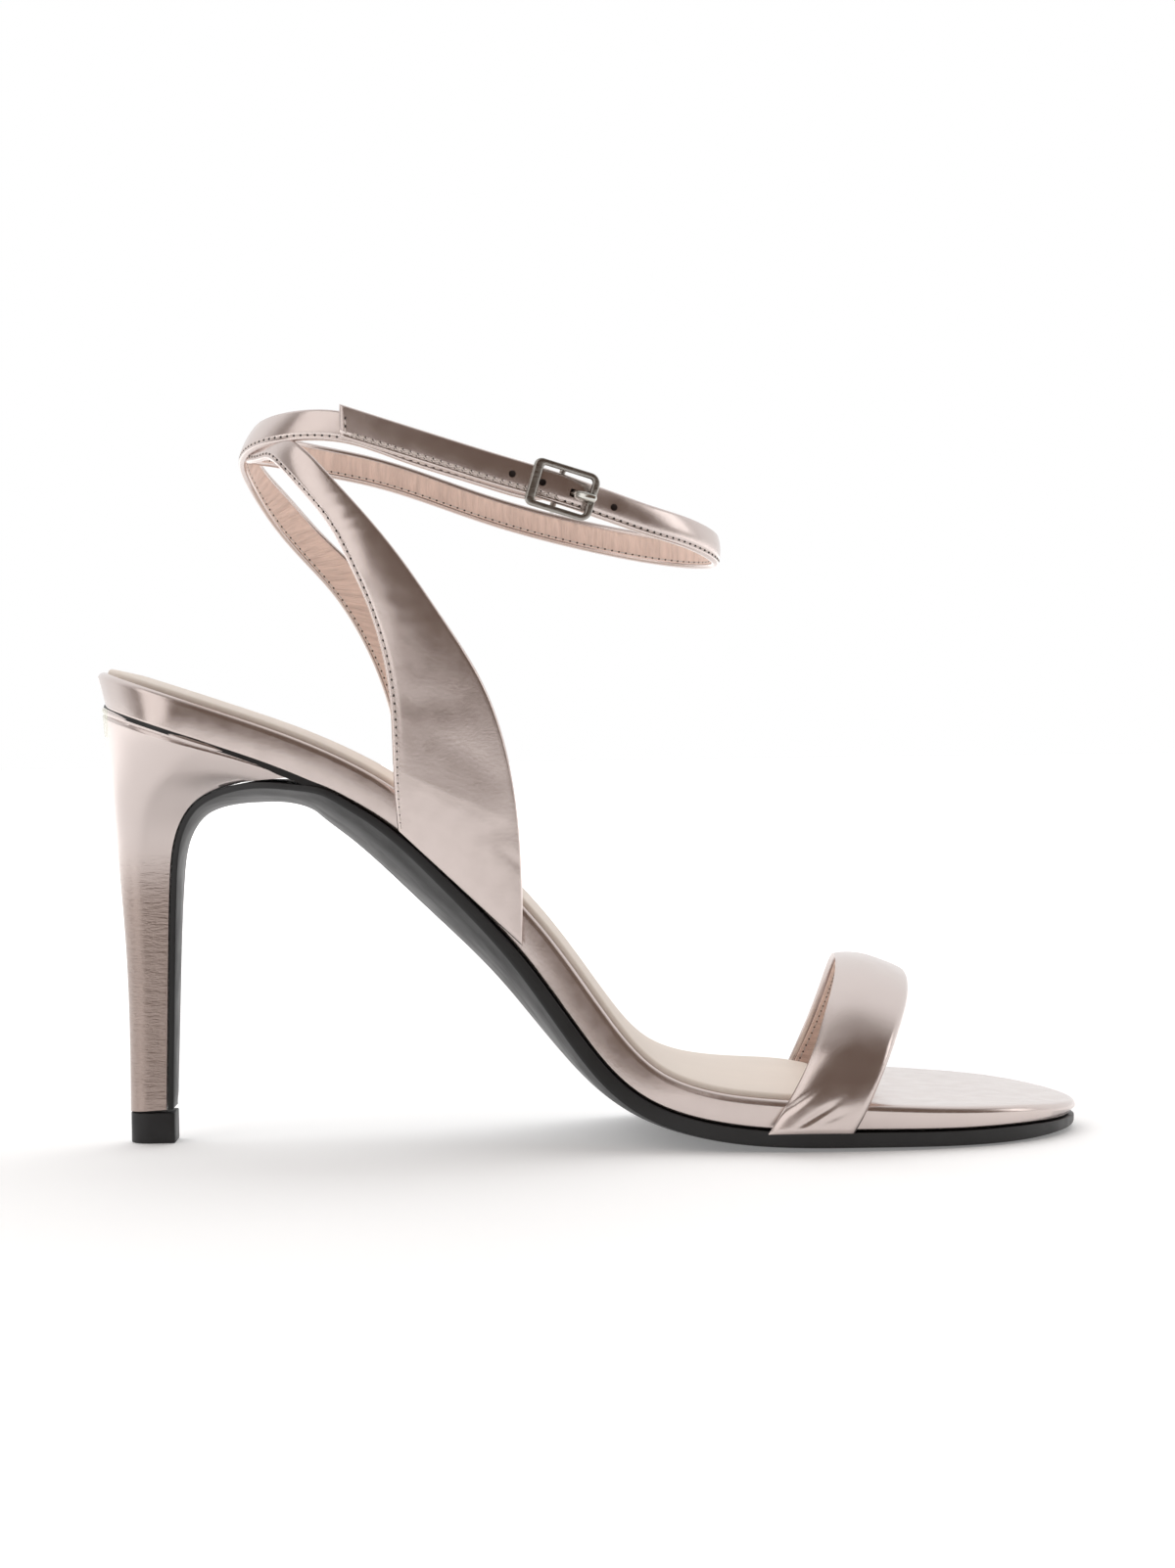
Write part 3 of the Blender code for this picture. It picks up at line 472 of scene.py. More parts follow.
def slab(place, s, lat, med, rims, crown=0.0, belly=0.0, across=14, fade=6.0):
    """Plate inside an outline, with rim rows (inset, level) from bottom to top.

    The outline runs along the lateral side, across the end, back along the
    medial side and across the start. Rim rows carry it round the edge, and a
    ladder of columns closes each face. crown raises the top face's middle and
    belly lowers the bottom one's, both fading out within fade mm of the ends.
    """
    count = len(s)
    low, high = np.stack([s, -lat], axis=1), np.stack([s, med], axis=1)[::-1]
    v = np.linspace(0.0, 1.0, across + 1)[1:-1, None]
    tip, heel = low[-1] + (high[0] - low[-1]) * v, high[-1] + (low[0] - high[-1]) * v
    outline = np.concatenate([low, tip, high, heel])
    index, faces = tube(len(rims), len(outline))
    verts = [place(*inward(outline, inset).T, level, 0.0) for inset, level in rims]
    total = index.size
    far = slice(count + across - 1, 2 * count + across - 1)
    ends = np.clip(np.minimum(s - s[0], s[-1] - s) / fade, 0.0, 1.0)[1:-1, None]
    for row, swell in ((0, -belly), (-1, crown)):
        inset, level = rims[row]
        ring = inward(outline, inset)
        left, right = ring[:count][1:-1, None], ring[far][::-1][1:-1, None]
        middle = left * (1 - v) + right * v
        rise = swell * (4 * v * (1 - v)).T ** 0.8 * ends
        verts.append(place(middle[..., 0], middle[..., 1], level, rise).reshape(-1, 3))
        cap = np.zeros((count, across + 1), int)
        cap[:, 0], cap[:, -1] = index[row, :count], index[row, far][::-1]
        cap[-1, 1:-1] = index[row, count:far.start]
        cap[0, 1:-1] = index[row, far.stop:][::-1]
        cap[1:-1, 1:-1] = total + np.arange(rise.size).reshape(rise.shape)
        total += rise.size
        quads = grid_faces(cap)
        faces += (quads[:, ::-1] if row else quads).tolist()
    return np.concatenate(verts), faces


def bed_line():
    """Top line of the insole."""
    return side_line(BED, BED_COLUMNS)


def heel_round(distance):
    """Factor that rounds the seat's outline towards the heel."""
    return closing(distance, HEEL_REACH, HEEL_POWER, HEEL_ROOT)


def toe_round(distance):
    """Factor that rounds the forepart's outline towards the toe."""
    return closing(distance, TOE_REACH, TOE_POWER, TOE_ROOT)


def bed_widths(line, s):
    """Half widths of the insole at s, with heel and toe rounded."""
    ends = heel_round(s) * toe_round(line["s"][-1] - s)
    return read(line, "lat", s) * ends, read(line, "med", s) * ends


def sole_line(line):
    """Outsole line: under the insole from the toe, then down the heel breast."""
    s = np.linspace(line["s"][-1], np.interp(SOLE_TURN, line["x"], line["s"]), 30)
    under = off_line(line, s, 0.0 * s, -read(line, "thick", s) - GAP)
    reach = read(line, "reach", s)
    fore = [under[:, 0], under[:, 2], read(line, "lat", s) + reach, read(line, "med", s) + reach]
    fore += [read(line, "edge", s), read(line, "belly", s)]
    flap = [(x, z, half, half, edge, belly) for x, z, half, edge, belly, *_ in BREAST]
    rows = np.concatenate([np.stack(fore, axis=1), np.array(flap)])
    path = side_line(rows, ("x", "z", "lat", "med", "edge", "belly"))
    path["nx"], path["nz"] = -path["nx"], -path["nz"]
    return path


def rounded_rim(bottom, top, lean, steps=6):
    """Rim rows (inset, share down, depth in mm) of a side with two round edges.

    Each edge is a quarter ellipse given as (inset, depth), and the side between
    them leans inwards by lean at its foot.
    """
    turn = quarter_turn(steps)
    rows = [(lean + bottom[0] * (1 - math.sin(a)), (1.0, -bottom[1] * (1 - math.cos(a)))) for a in turn]
    return rows + [(top[0] * (1 - math.cos(a)), (0.0, top[1] * (1 - math.sin(a)))) for a in turn]


def seat_lean(s):
    """How far the seat's foot lies before its top edge, fading out forwards."""
    return SEAT_LEAN * np.clip(1.0 - s / SEAT_LEAN_REACH, 0.0, 1.0)


def insole_shape(line):
    """Wrapped insole board: a slab with a soft top edge, leaning in at the seat."""
    s = spaced(END_STEP, line["s"][-1] - END_STEP, 260, 0.6)

    def place(s, y, level, rise):
        share, depth = level
        s = s + share * seat_lean(s)
        return off_line(line, s, y, rise - share * read(line, "thick", s) - depth)

    return slab(place, s, *bed_widths(line, s), rounded_rim(*INSOLE_RIM), across=18)


def sock_shape(line):
    """Padded sock: a thin slab with a round edge and a low crown."""
    end = np.interp(SOCK_FRONT, line["x"], line["s"])
    s = spaced(SOCK_INSET, end, 220, 0.5)
    lat, med = bed_widths(line, s)
    ends = heel_round(s - SOCK_INSET + END_STEP) / heel_round(s) * closing(end - s + 2.0, 14.0, 2.0, 4.0)

    def place(s, y, level, rise):
        return off_line(line, s, y, level + rise)

    low, top, inset = SOCK_EDGE
    rims = [(0.0, -0.1)]
    for a in quarter_turn(6):
        rims.append((inset * (1 - math.cos(a)), low + (top - low) * math.sin(a)))
    return slab(place, s, (lat - SOCK_INSET) * ends, (med - SOCK_INSET) * ends, rims, SOCK_CROWN, across=18)


def outsole_shape(path):
    """Sole and heel flap: a slab whose underside swells, clipped at the floor."""
    s = spaced(END_STEP, path["s"][-1], 360, 0.35)

    def place(s, y, level, rise):
        share, height = level
        height = height - share * read(path, "edge", s) + rise * read(path, "belly", s)
        points = off_line(path, s, y, height)
        points[..., 2] = np.maximum(points[..., 2], 0.0)
        return points

    lat, med = read(path, "lat", s) * toe_round(s), read(path, "med", s) * toe_round(s)
    return slab(place, s, lat, med, SOLE_RIM, 0.0, 1.0, across=20, fade=3.0)


def heel_sections(line, path):
    """D-shaped loops of the heel, one for each row of its table.

    Each is a quarter round from the back to its widest place, then a straight
    side to the breast and a straight front. The first lies under the insole.
    """
    turn = quarter_turn(22)
    share, bulge = 1.0 - np.cos(turn), np.sin(turn) ** D_POWER
    side = np.linspace(0.0, 1.0, 9)[1:]
    front = np.linspace(1.0, -1.0, 13)[1:-1]
    loops = []
    for row in BREAST:
        breast_x, breast_z, half, _, _, back_x, back_z, widest, round_back = row
        near = np.argmin((path["x"] - breast_x) ** 2 + (path["z"] - breast_z) ** 2)
        front_z = breast_z + GAP * path["nz"][near]
        length = breast_x + GAP * path["nx"][near] - back_x
        x = np.concatenate([share * round_back, round_back + (length - round_back) * side])
        wide = np.concatenate([bulge * widest, widest + (half - widest) * side])
        x = np.concatenate([x, length + 0 * front, x[:0:-1]])
        y = np.concatenate([-wide, -half * front, wide[:0:-1]])
        z = back_z + x / length * (front_z - back_z)
        loops.append(np.stack([x + back_x, y, z], axis=1))
    down = line["thick"] + GAP
    under = line["x"] - down * line["nx"]
    loops[0][:, 2] = np.interp(loops[0][:, 0], under, line["z"] - down * line["nz"])
    return np.stack(loops)


def heel_shape(line, path, levels=180, close=50):
    """Heel block: the sections carried from the seat down to the tip.

    The leather's top edge turns in, with a groove under it, and a seam runs
    down the back. Both fade out towards the front.
    """
    fronts = np.array([row[:2] for row in BREAST])
    table = np.hstack([fronts, heel_sections(line, path).reshape(len(BREAST), -1)])
    top = np.linspace(0.0, HEEL_TOP_SHARE, close + 1)[:-1]
    where = np.concatenate([top, np.linspace(HEEL_TOP_SHARE, 1.0, levels - close)])
    points = through(table, where, 2)[:, 2:].reshape(levels, -1, 3)
    steps = np.linalg.norm(np.diff(points, axis=0), axis=2)
    depth = np.vstack([0 * steps[:1], np.cumsum(steps, axis=0)])
    across = np.roll(points, -1, axis=1) - np.roll(points, 1, axis=1)
    out = unit(np.cross(unit(across), unit(np.gradient(points, axis=0))))
    x, middle = points[..., 0], out[levels // 2, :, 0]
    if np.sum(middle * (x[levels // 2] - x[levels // 2].mean())) < 0:
        out = -out
    relief = -TURNED_IN * np.clip(1.0 - depth / 0.5, 0.0, 1.0) ** 2
    relief *= np.clip((-68.0 - x) / 8.0, 0.0, 1.0)
    relief -= HEEL_GROOVE * bump_curve(depth - 1.5, 0.24)
    relief *= np.clip(1.2 - 2.0 * np.maximum(out[..., 0], 0.0), 0.0, 1.0)
    relief -= BACK_SEAM * bump_curve(points[..., 1], 0.22) * (x < x.min(axis=1, keepdims=True) + 1.5)
    index, faces = tube(*x.shape)
    return (points + out * relief[..., None]).reshape(-1, 3), faces + ladder_ends(index)


def seat_seam_shape(line):
    """Thin black rand that shows as a line between insole and heel."""
    s = spaced(0.8, np.interp(-50.0, line["x"], line["s"]), 120, 0.5)

    def place(s, y, level, rise):
        s = s + seat_lean(s)
        wedge = 0.5 * np.clip((read(line, "x", s) + 68.0) / 5.0, 0.0, 1.0) * (level < 0.0)
        return off_line(line, s, y, level - wedge - read(line, "thick", s))

    narrow = heel_round(s - 0.7) / heel_round(s)
    lat, med = ((half - RAND_INSET) * narrow for half in bed_widths(line, s))
    return slab(place, s, lat, med, [(0.0, -0.9), (0.0, 0.35)], across=6)


def top_piece_shape():
    """Heel tip: D outline carried up with a small chamfer at each end."""
    turn = quarter_turn(22)
    x = np.concatenate([(1.0 - np.cos(turn)) * TIP_LENGTH * 0.5, [9.2, 9.7, 9.94, 10.0]])
    wide = np.concatenate([np.sin(turn) ** D_POWER * TIP_HALF, [4.56, 4.45, 4.25, 3.9]])
    ring = np.concatenate([np.stack([x, -wide], axis=1), np.stack([x, wide], axis=1)[:0:-1]])
    points = []
    for inset, z in ((0.3, 0.0), (0.06, 0.08), (0.0, 0.3), (0.0, 6.4), (0.06, 6.62), (0.3, TIP_HEIGHT)):
        moved = inward(ring, inset)
        points.append(np.column_stack([moved[:, 0] + TIP_BACK, moved[:, 1], np.full(len(ring), z)]))
    index, faces = tube(len(points), len(ring))
    return np.concatenate(points), faces + [index[0].tolist(), index[-1, ::-1].tolist()]


# Straps


def ring_rows(rows):
    """Sections of the ankle strap round the leg's outline."""
    out = []
    for deg, middle, height, away, lean in rows:
        c, s = cos_sin(deg)
        length = math.hypot(LEG_WIDE * c, LEG_LONG * s)
        section = []
        for reach, z in ((away, middle - height / 2), (away - lean, middle + height / 2)):
            section.append(LEG_X + LEG_LONG * c + reach * LEG_WIDE * c / length)
            section += [LEG_WIDE * s + reach * LEG_LONG * s / length, z]
        out.append(section)
    return out


def near_rows(rows):
    """Sections of the strap on the lateral side, beside the buckle."""
    return [(x, y, middle - height / 2, x, y, middle + height / 2) for x, y, middle, height in rows]


def buckle_axes():
    """Along, up and outward directions of the buckle."""
    (level, fall), (ahead, aside) = cos_sin(BUCKLE_SLOPE), cos_sin(BUCKLE_TURN)
    along = np.array([level * ahead, aside, -fall * ahead])
    out = np.array([0.0, -1.0, 0.0])
    out = unit(out - along * out.dot(along))
    return np.array([along, np.cross(out, along), out])


def at_buckle(places):
    """Points given as (along, up, out) in the buckle's own directions."""
    return BUCKLE_AT + np.asarray(places, float).reshape(-1, 3) @ buckle_axes()


def new_strap(rows, side=1.0, belly=WING_BELLY, dome=NARROW_DOME, thick=STRAP_THICK):
    """Strap through its sections. Its outer face is on the left of its run, or the right."""
    return {"rows": rows, "side": side, "belly": belly, "dome": dome, "thick": thick}


def lateral_strap():
    """Outer quarter, ankle strap and its free end."""
    return new_strap(list(LATERAL_WING) + ring_rows(LOW_RING) + near_rows(NEAR_TAIL))


def medial_strap():
    """Inner quarter and the strap that holds the buckle."""
    fold = at_buckle([(HINGE_ALONG - 1.4, up, HINGE_DEPTH) for up in (-FOLD_HALF, FOLD_HALF)])
    rows = list(MEDIAL_WING) + ring_rows(HIGH_RING) + near_rows(NEAR_INNER)
    return new_strap(rows + [fold.ravel()], side=-1.0)


def toe_strap():
    """Strap over the toes."""
    return new_strap(TOE_STRAP, belly=TOE_BELLY, dome=0.0, thick=TOE_STRAP_THICK)


def edges(strap, share):
    """Both edges of a strap at shares of its length."""
    out = through(strap["rows"], np.clip(share, 0.0, 1.0), 6)
    return out[..., :3], out[..., 3:6]


def on_strap(strap, share, across, height):
    """Points at a share along and across a strap, height mm outside its middle layer.

    The middle layer is the straight line between both edges, swollen outwards
    along the normal, which is square to that line and to the strap's run. A narrow
    strap swells more for its width.
    """
    share, across = np.broadcast_arrays(share, across)
    a, b = edges(strap, share)
    a1, b1 = edges(strap, share + 0.004)
    a0, b0 = edges(strap, share - 0.004)
    v = across[..., None]
    out = unit(np.cross(b - a, (a1 - a0) * (1 - v) + (b1 - b0) * v)) * strap["side"]
    wide = np.linalg.norm(b - a, axis=-1)
    ends = np.clip(np.minimum(share, 1.0 - share) / 0.06, 0.0, 1.0) ** 0.5
    dome = strap["belly"] * ends * np.clip(wide / 30.0, 0.0, 1.0)
    dome = dome + strap["dome"] * np.clip((16.0 - wide) / 8.0, 0.0, 1.0)
    swell = dome * 4 * across * (1 - across)
    tilt = dome * 4 * (1 - 2 * across) / wide
    normal = unit(out - unit(b - a) * tilt[..., None])
    return a * (1 - v) + b * v + out * swell[..., None] + normal * height[..., None], normal


def strap_width(strap, share):
    """Width of a strap at shares of its length."""
    a, b = edges(strap, share)
    return np.linalg.norm(b - a, axis=-1)


def strap_run(strap, samples=800):
    """Shares along a strap and the length in mm up to each."""
    share = np.linspace(0.0, 1.0, samples)
    steps = np.linalg.norm(np.diff(sum(edges(strap, share)) / 2, axis=0), axis=1)
    return share, running(steps)


def pressed(creases, share, gap, wide, length):
    """Depth of the creases at gap mm from edge a: sums of long soft troughs."""
    total = np.zeros_like(gap)
    for along, across, long, narrow, turn, depth in creases:
        c, s = cos_sin(turn)
        dx, dy = (share - along) * length, gap - across * wide
        total += depth * bump_curve(dx * c + dy * s, narrow) * bump_curve(dy * c - dx * s, long)
    return total


def band(strap, start, end, outer, inner, count, soft, inset=0.0, relief=None, across=26):
    """Closed band along a strap, with round edges and round ends.

    Each section runs from edge a over the outer face to edge b and back along
    the inner face. Near an edge its height follows a quarter circle.
    """
    run = strap_run(strap)
    length = np.interp(end, *run) - np.interp(start, *run)
    turn = quarter_turn(6)
    near = (1 - np.cos(turn)) * soft / length
    t = np.concatenate([near[:-1], np.linspace(near[-1], 1 - near[-1], count), 1 - near[-2::-1]])
    share = start + (end - start) * t
    from_end = np.minimum(t, 1 - t) * length
    ends = np.sqrt(np.clip(1 - np.clip(1 - from_end / soft, 0, 1) ** 2, 0.02, 1))[:, None]
    wide = strap_width(strap, share)[:, None]
    edge = np.minimum(soft, 0.35 * (wide - 2 * inset))
    left = inset + edge * (1 - np.cos(turn))
    q = np.linspace(0.0, 1.0, across)[None, 1:-1]
    middle = inset + edge + (wide - 2 * inset - 2 * edge) * q
    gap = np.concatenate([left, middle, wide - left[:, ::-1]], axis=1)
    height = np.concatenate([np.sin(turn), 1 + 0 * q[0], np.sin(turn)[::-1]])[None] + 0 * wide
    over = height * outer
    if relief is not None:
        over = over + height * relief(share[:, None] + 0 * gap, gap, wide + 0 * gap, run[1][-1])
    gap = np.concatenate([gap, gap[:, -2:0:-1]], axis=1)
    level = np.concatenate([over, height[:, -2:0:-1] * inner], axis=1)
    base = (outer + inner) / 2
    points, _ = on_strap(strap, share[:, None], gap / wide, base + (level - base) * ends)
    index, faces = tube(*gap.shape)
    lay = np.stack([np.interp(share, *run)[:, None] + 0 * gap, gap], axis=-1)
    return points.reshape(-1, 3), faces + ladder_ends(index), lay


def lining_shape(strap, start, end, deep, proud, count, soft, inset, across):
    """Band from deep mm inside a strap's inner face to proud mm past it."""
    face = -strap["thick"] / 2
    return band(strap, start, end, face + deep, face - proud, count, soft, inset, across=across)


def stitch_places(strap, line, pitch, height):
    """Places, directions and outward normals at equal steps along a line.

    line holds (share, gap) at its start and its end, gap in mm from edge a, or
    from edge b where it is negative.
    """
    t = np.linspace(0.0, 1.0, 900)
    share, gap = (np.array(line[0]) + t[:, None] * np.subtract(line[1], line[0])).T
    wide = strap_width(strap, share)
    points, out = on_strap(strap, share, np.where(gap < 0, wide + gap, gap) / wide, np.full_like(t, height))
    length = running(np.linalg.norm(np.diff(points, axis=0), axis=1))
    where = np.interp((np.arange(int(length[-1] / pitch)) + 0.5) * pitch, length, t)

    def pick(values):
        return np.stack([np.interp(where, t, column) for column in values.T], axis=1)

    return pick(points), unit(pick(unit(np.gradient(points, axis=0)))), unit(pick(out))


def beads(places, ahead, out, long, wide, tall, tilt=0.0, sides=8, rings=5):
    """Small closed lumps, one at each place: long ellipsoids that lie along ahead."""
    turn = np.linspace(-1.0, 1.0, rings)[:, None] * 0.86 * math.pi / 2
    around = circle(sides)
    x = (np.sin(turn) + 0 * around) * long / 2
    y = np.cos(turn) * np.cos(around) * wide / 2
    z = np.cos(turn) * np.sin(around) * tall / 2
    local = np.stack([x, y, z], axis=-1).reshape(-1, 3)
    local = np.concatenate([local, [(-long / 2, 0, 0), (long / 2, 0, 0)]])
    c, s = cos_sin(tilt)
    local = local @ np.array([[c, s, 0.0], [-s, c, 0.0], [0.0, 0.0, 1.0]])
    axes = np.stack([ahead, unit(np.cross(out, ahead)), out], axis=1)
    verts = places[:, None] + np.einsum("kj,njc->nkc", local, axes)
    index, quads = tube(rings, sides)
    first, last, low = index[0], index[-1], np.full(sides, index.size)
    fans = np.concatenate([
        np.stack([first, low, np.roll(first, -1)], axis=-1),
        np.stack([np.roll(last, -1), low + 1, last], axis=-1),
    ])
    start = np.arange(len(places))[:, None, None] * len(local)
    faces = (start + np.array(quads)).reshape(-1, 4).tolist()
    return verts.reshape(-1, 3), faces + (start + fans).reshape(-1, 3).tolist()


def cut(piece, shape):
    """Take a shape out of a piece with an exact Boolean, applied at once."""
    other = solid("cutter", *shape)
    modifier = piece.modifiers.new("cut", "BOOLEAN")
    modifier.operation = "DIFFERENCE"
    modifier.solver = "EXACT"
    modifier.object = other
    bpy.context.view_layer.update()
    whole = bpy.context.evaluated_depsgraph_get()
    done = bpy.data.meshes.new_from_object(piece.evaluated_get(whole))
    piece.modifiers.clear()
    piece.data = done
    bpy.data.objects.remove(other, do_unlink=True)
    done.set_sharp_from_angle(angle=SHARP)


def rod(points, radii, side, around=24):
    """Round bar along points, closed at both ends."""
    points = np.asarray(points, float)
    ahead = unit(np.gradient(points, axis=0))
    side = unit(side - ahead * (ahead @ side)[:, None])
    turn = circle(around)[None, :, None]
    ring = side[:, None] * np.cos(turn) + np.cross(ahead, side)[:, None] * np.sin(turn)
    verts = points[:, None] + ring * np.broadcast_to(radii, len(points))[:, None, None]
    index, faces = tube(len(points), around)
    return verts.reshape(-1, 3), faces + [index[0, ::-1].tolist(), index[-1].tolist()]


def hole_fillings(near, far, wider, slot):
    """Round bars in the punched holes and a box in the prong's slot.

    The bars go from y near to y far and are wider than the holes by a little.
    slot holds where the box starts and ends along, up and out at the buckle.
    """
    shapes = []
    for (x, z, radius), y0, y1 in zip(HOLES, near, far):
        shapes.append(rod([(x, y0, z), (x, y1, z)], radius + wider, np.array([1.0, 0.0, 0.0])))
    corners = [(a, u, o) for a in slot[0] for u in slot[1] for o in slot[2]]
    faces = [(0, 1, 3, 2), (4, 6, 7, 5), (0, 4, 5, 1), (2, 3, 7, 6), (0, 2, 6, 4), (1, 5, 7, 3)]
    return shapes + [(at_buckle(corners), faces)]


# Buckle


def superellipse(count, power):
    """Rounded square section, from -1 to 1 both ways."""
    turn = circle(count)
    c, s = np.cos(turn), np.sin(turn)
    return np.sign(c) * np.abs(c) ** (2 / power), np.sign(s) * np.abs(s) ** (2 / power)


def buckle_loop(long, tall, cut_off, steps=8, side=14):
    """Rounded rectangle about the middle, with its corners and its sides sampled."""
    points = []
    for quarter, (sx, sy) in enumerate(((1, 1), (-1, 1), (-1, -1), (1, -1))):
        turn = quarter_turn(steps) + quarter * math.pi / 2
        corner = cut_off * (1.25 + 0.25 * sx)
        x = sx * (long / 2 - corner) + corner * np.cos(turn)
        y = sy * (tall / 2 - corner) + corner * np.sin(turn)
        points.append(np.stack([x, y], axis=1))
    out = []
    t = np.linspace(0.0, 1.0, side + 2)[1:-1, None]
    for one, two in zip(points, points[1:] + points[:1]):
        out += [one, one[-1] * (1 - t) + two[0] * t]
    return np.concatenate(out)


def buckle_frame_shape():
    """Frame: a rounded square section carried between its outer and inner loops."""
    outer = buckle_loop(BUCKLE_LONG, BUCKLE_TALL, BUCKLE_CORNER)
    inner = buckle_loop(BUCKLE_LONG - BAR_LEFT - BAR_RIGHT, BUCKLE_TALL - 2 * BAR_SIDE, 0.5)
    inner[:, 0] += (BAR_LEFT - BAR_RIGHT) / 2
    notch = 0.35 * bump_curve(inner[:, 1], 0.95) * (inner[:, 0] > 0)
    f, g = superellipse(24, 3.4)
    f = 0.5 + 0.5 * f[:, None]
    flat = outer[:, None] * (1 - f) + inner[:, None] * f
    height = g * BAR_THICK / 2 - notch[:, None] * np.clip(g, 0, 1)
    places = np.concatenate([flat, height[..., None]], axis=2)
    return at_buckle(places), tube(*height.shape, looped=True)[1]


def hinge_bar_shape():
    """Round bar behind the strap, bent back from both sides of the frame."""
    rail = BUCKLE_TALL / 2 - BAR_SIDE / 2
    bend = quarter_turn(7)
    ups, outs = rail - 0.9 * (1 - np.cos(bend)), HINGE_DEPTH + 0.9 * (1 - np.sin(bend))
    route = [(HINGE_ALONG, rail, -0.3)] + [(HINGE_ALONG, u, o) for u, o in zip(ups, outs)]
    route += [(a, -u, o) for a, u, o in route[::-1]]
    return rod(at_buckle(route), HINGE_RADIUS, buckle_axes()[0])


def prong_shape(samples=40):
    """Prong: a round bar along its table, with a rounded tip."""
    share = np.linspace(0.0, 1.0, samples)
    rows = through(PRONG, share, 3)
    tip = np.sqrt(np.clip(1 - np.clip((share - 0.94) / 0.0605, 0, 1) ** 2, 0.03, 1))
    return rod(at_buckle(rows[:, :3]), PRONG_SWELL * rows[:, 3] * tip, buckle_axes()[1])


def collar_shape(low, high, outer, around=40, section=16):
    """Short tube round the hinge bar: a rounded square section turned about it."""
    f, g = superellipse(section, 4.0)
    radius = (outer + SLEEVE_INNER) / 2 + f * (outer - SLEEVE_INNER) / 2
    turn = circle(around)[:, None]
    along, out = HINGE_ALONG + radius * np.cos(turn), HINGE_DEPTH + radius * np.sin(turn)
    up = (low + high) / 2 + g * (high - low) / 2 + 0 * along
    return at_buckle(np.stack([along, up, out], axis=-1)), tube(around, section, looped=True)[1]


# Materials


def feed(made, inputs):
    """Give a node's inputs values, or outputs of other nodes."""
    for name, value in inputs.items():
        if isinstance(value, bpy.types.NodeSocket):
            made.id_data.links.new(value, made.inputs[name])
        else:
            made.inputs[name].default_value = value


def node(tree, kind, inputs=None, **settings):
    """Outputs of a new shader node with its settings and inputs."""
    made = tree.nodes.new("ShaderNode" + kind)
    for name, value in settings.items():
        setattr(made, name, value)
    feed(made, inputs or {})
    return made.outputs


def new_finish(name, colour, rough, metal=0.0):
    """Material, its node tree, its Principled shader and its object coordinates."""
    finish = bpy.data.materials.new(name)
    finish.use_nodes = True
    tree = finish.node_tree
    shader = tree.nodes["Principled BSDF"]
    feed(shader, {"Base Color": (*colour, 1.0), "Roughness": rough, "Metallic": metal})
    return finish, tree, shader, node(tree, "TexCoord")["Object"]


def noise(tree, where, scale, detail=3.0, rough=0.5):
    """Value of a noise of that scale, in waves a metre."""
    inputs = {"Vector": where, "Scale": scale, "Detail": detail, "Roughness": rough}
    return node(tree, "TexNoise", inputs)["Fac"]


def stretched(tree, where, scale, detail=3.0, rough=0.5):
    """Value of a noise with its own scale along each axis."""
    where = node(tree, "Mapping", {"Vector": where, "Scale": scale})["Vector"]
    return noise(tree, where, 1.0, detail, rough)


def bump(tree, height, distance, strength, under=None):
    """Bump of that depth in metres, over another one if given."""
    inputs = {"Height": height, "Distance": distance, "Strength": strength}
    if under is not None:
        inputs["Normal"] = under
    return node(tree, "Bump", inputs)["Normal"]


def combined(tree, operation, *values):
    """Result of a sum on some values."""
    return node(tree, "Math", dict(enumerate(values)), operation=operation)[0]


def mixed(tree, fac, one, two, blend="MIX"):
    """Colour that goes from one to two as fac goes from 0 to 1."""
    inputs = {"Factor": fac, 6: one, 7: two}
    return node(tree, "Mix", inputs, data_type="RGBA", blend_type=blend)[2]


def ranged(tree, value, low, high, to_low, to_high, kind="SMOOTHSTEP"):
    """Value carried from one range to another."""
    names = ("Value", "From Min", "From Max", "To Min", "To Max")
    inputs = dict(zip(names, (value, low, high, to_low, to_high)))
    return node(tree, "MapRange", inputs, interpolation_type=kind)["Result"]


def tinted(tree, colour, fac, dark, light):
    """Colour from dark to light times itself as fac goes from 0.3 to 0.7."""
    scale = ranged(tree, fac, 0.3, 0.7, dark, light, "LINEAR")
    return mixed(tree, 1.0, (*colour, 1.0), scale, "MULTIPLY")


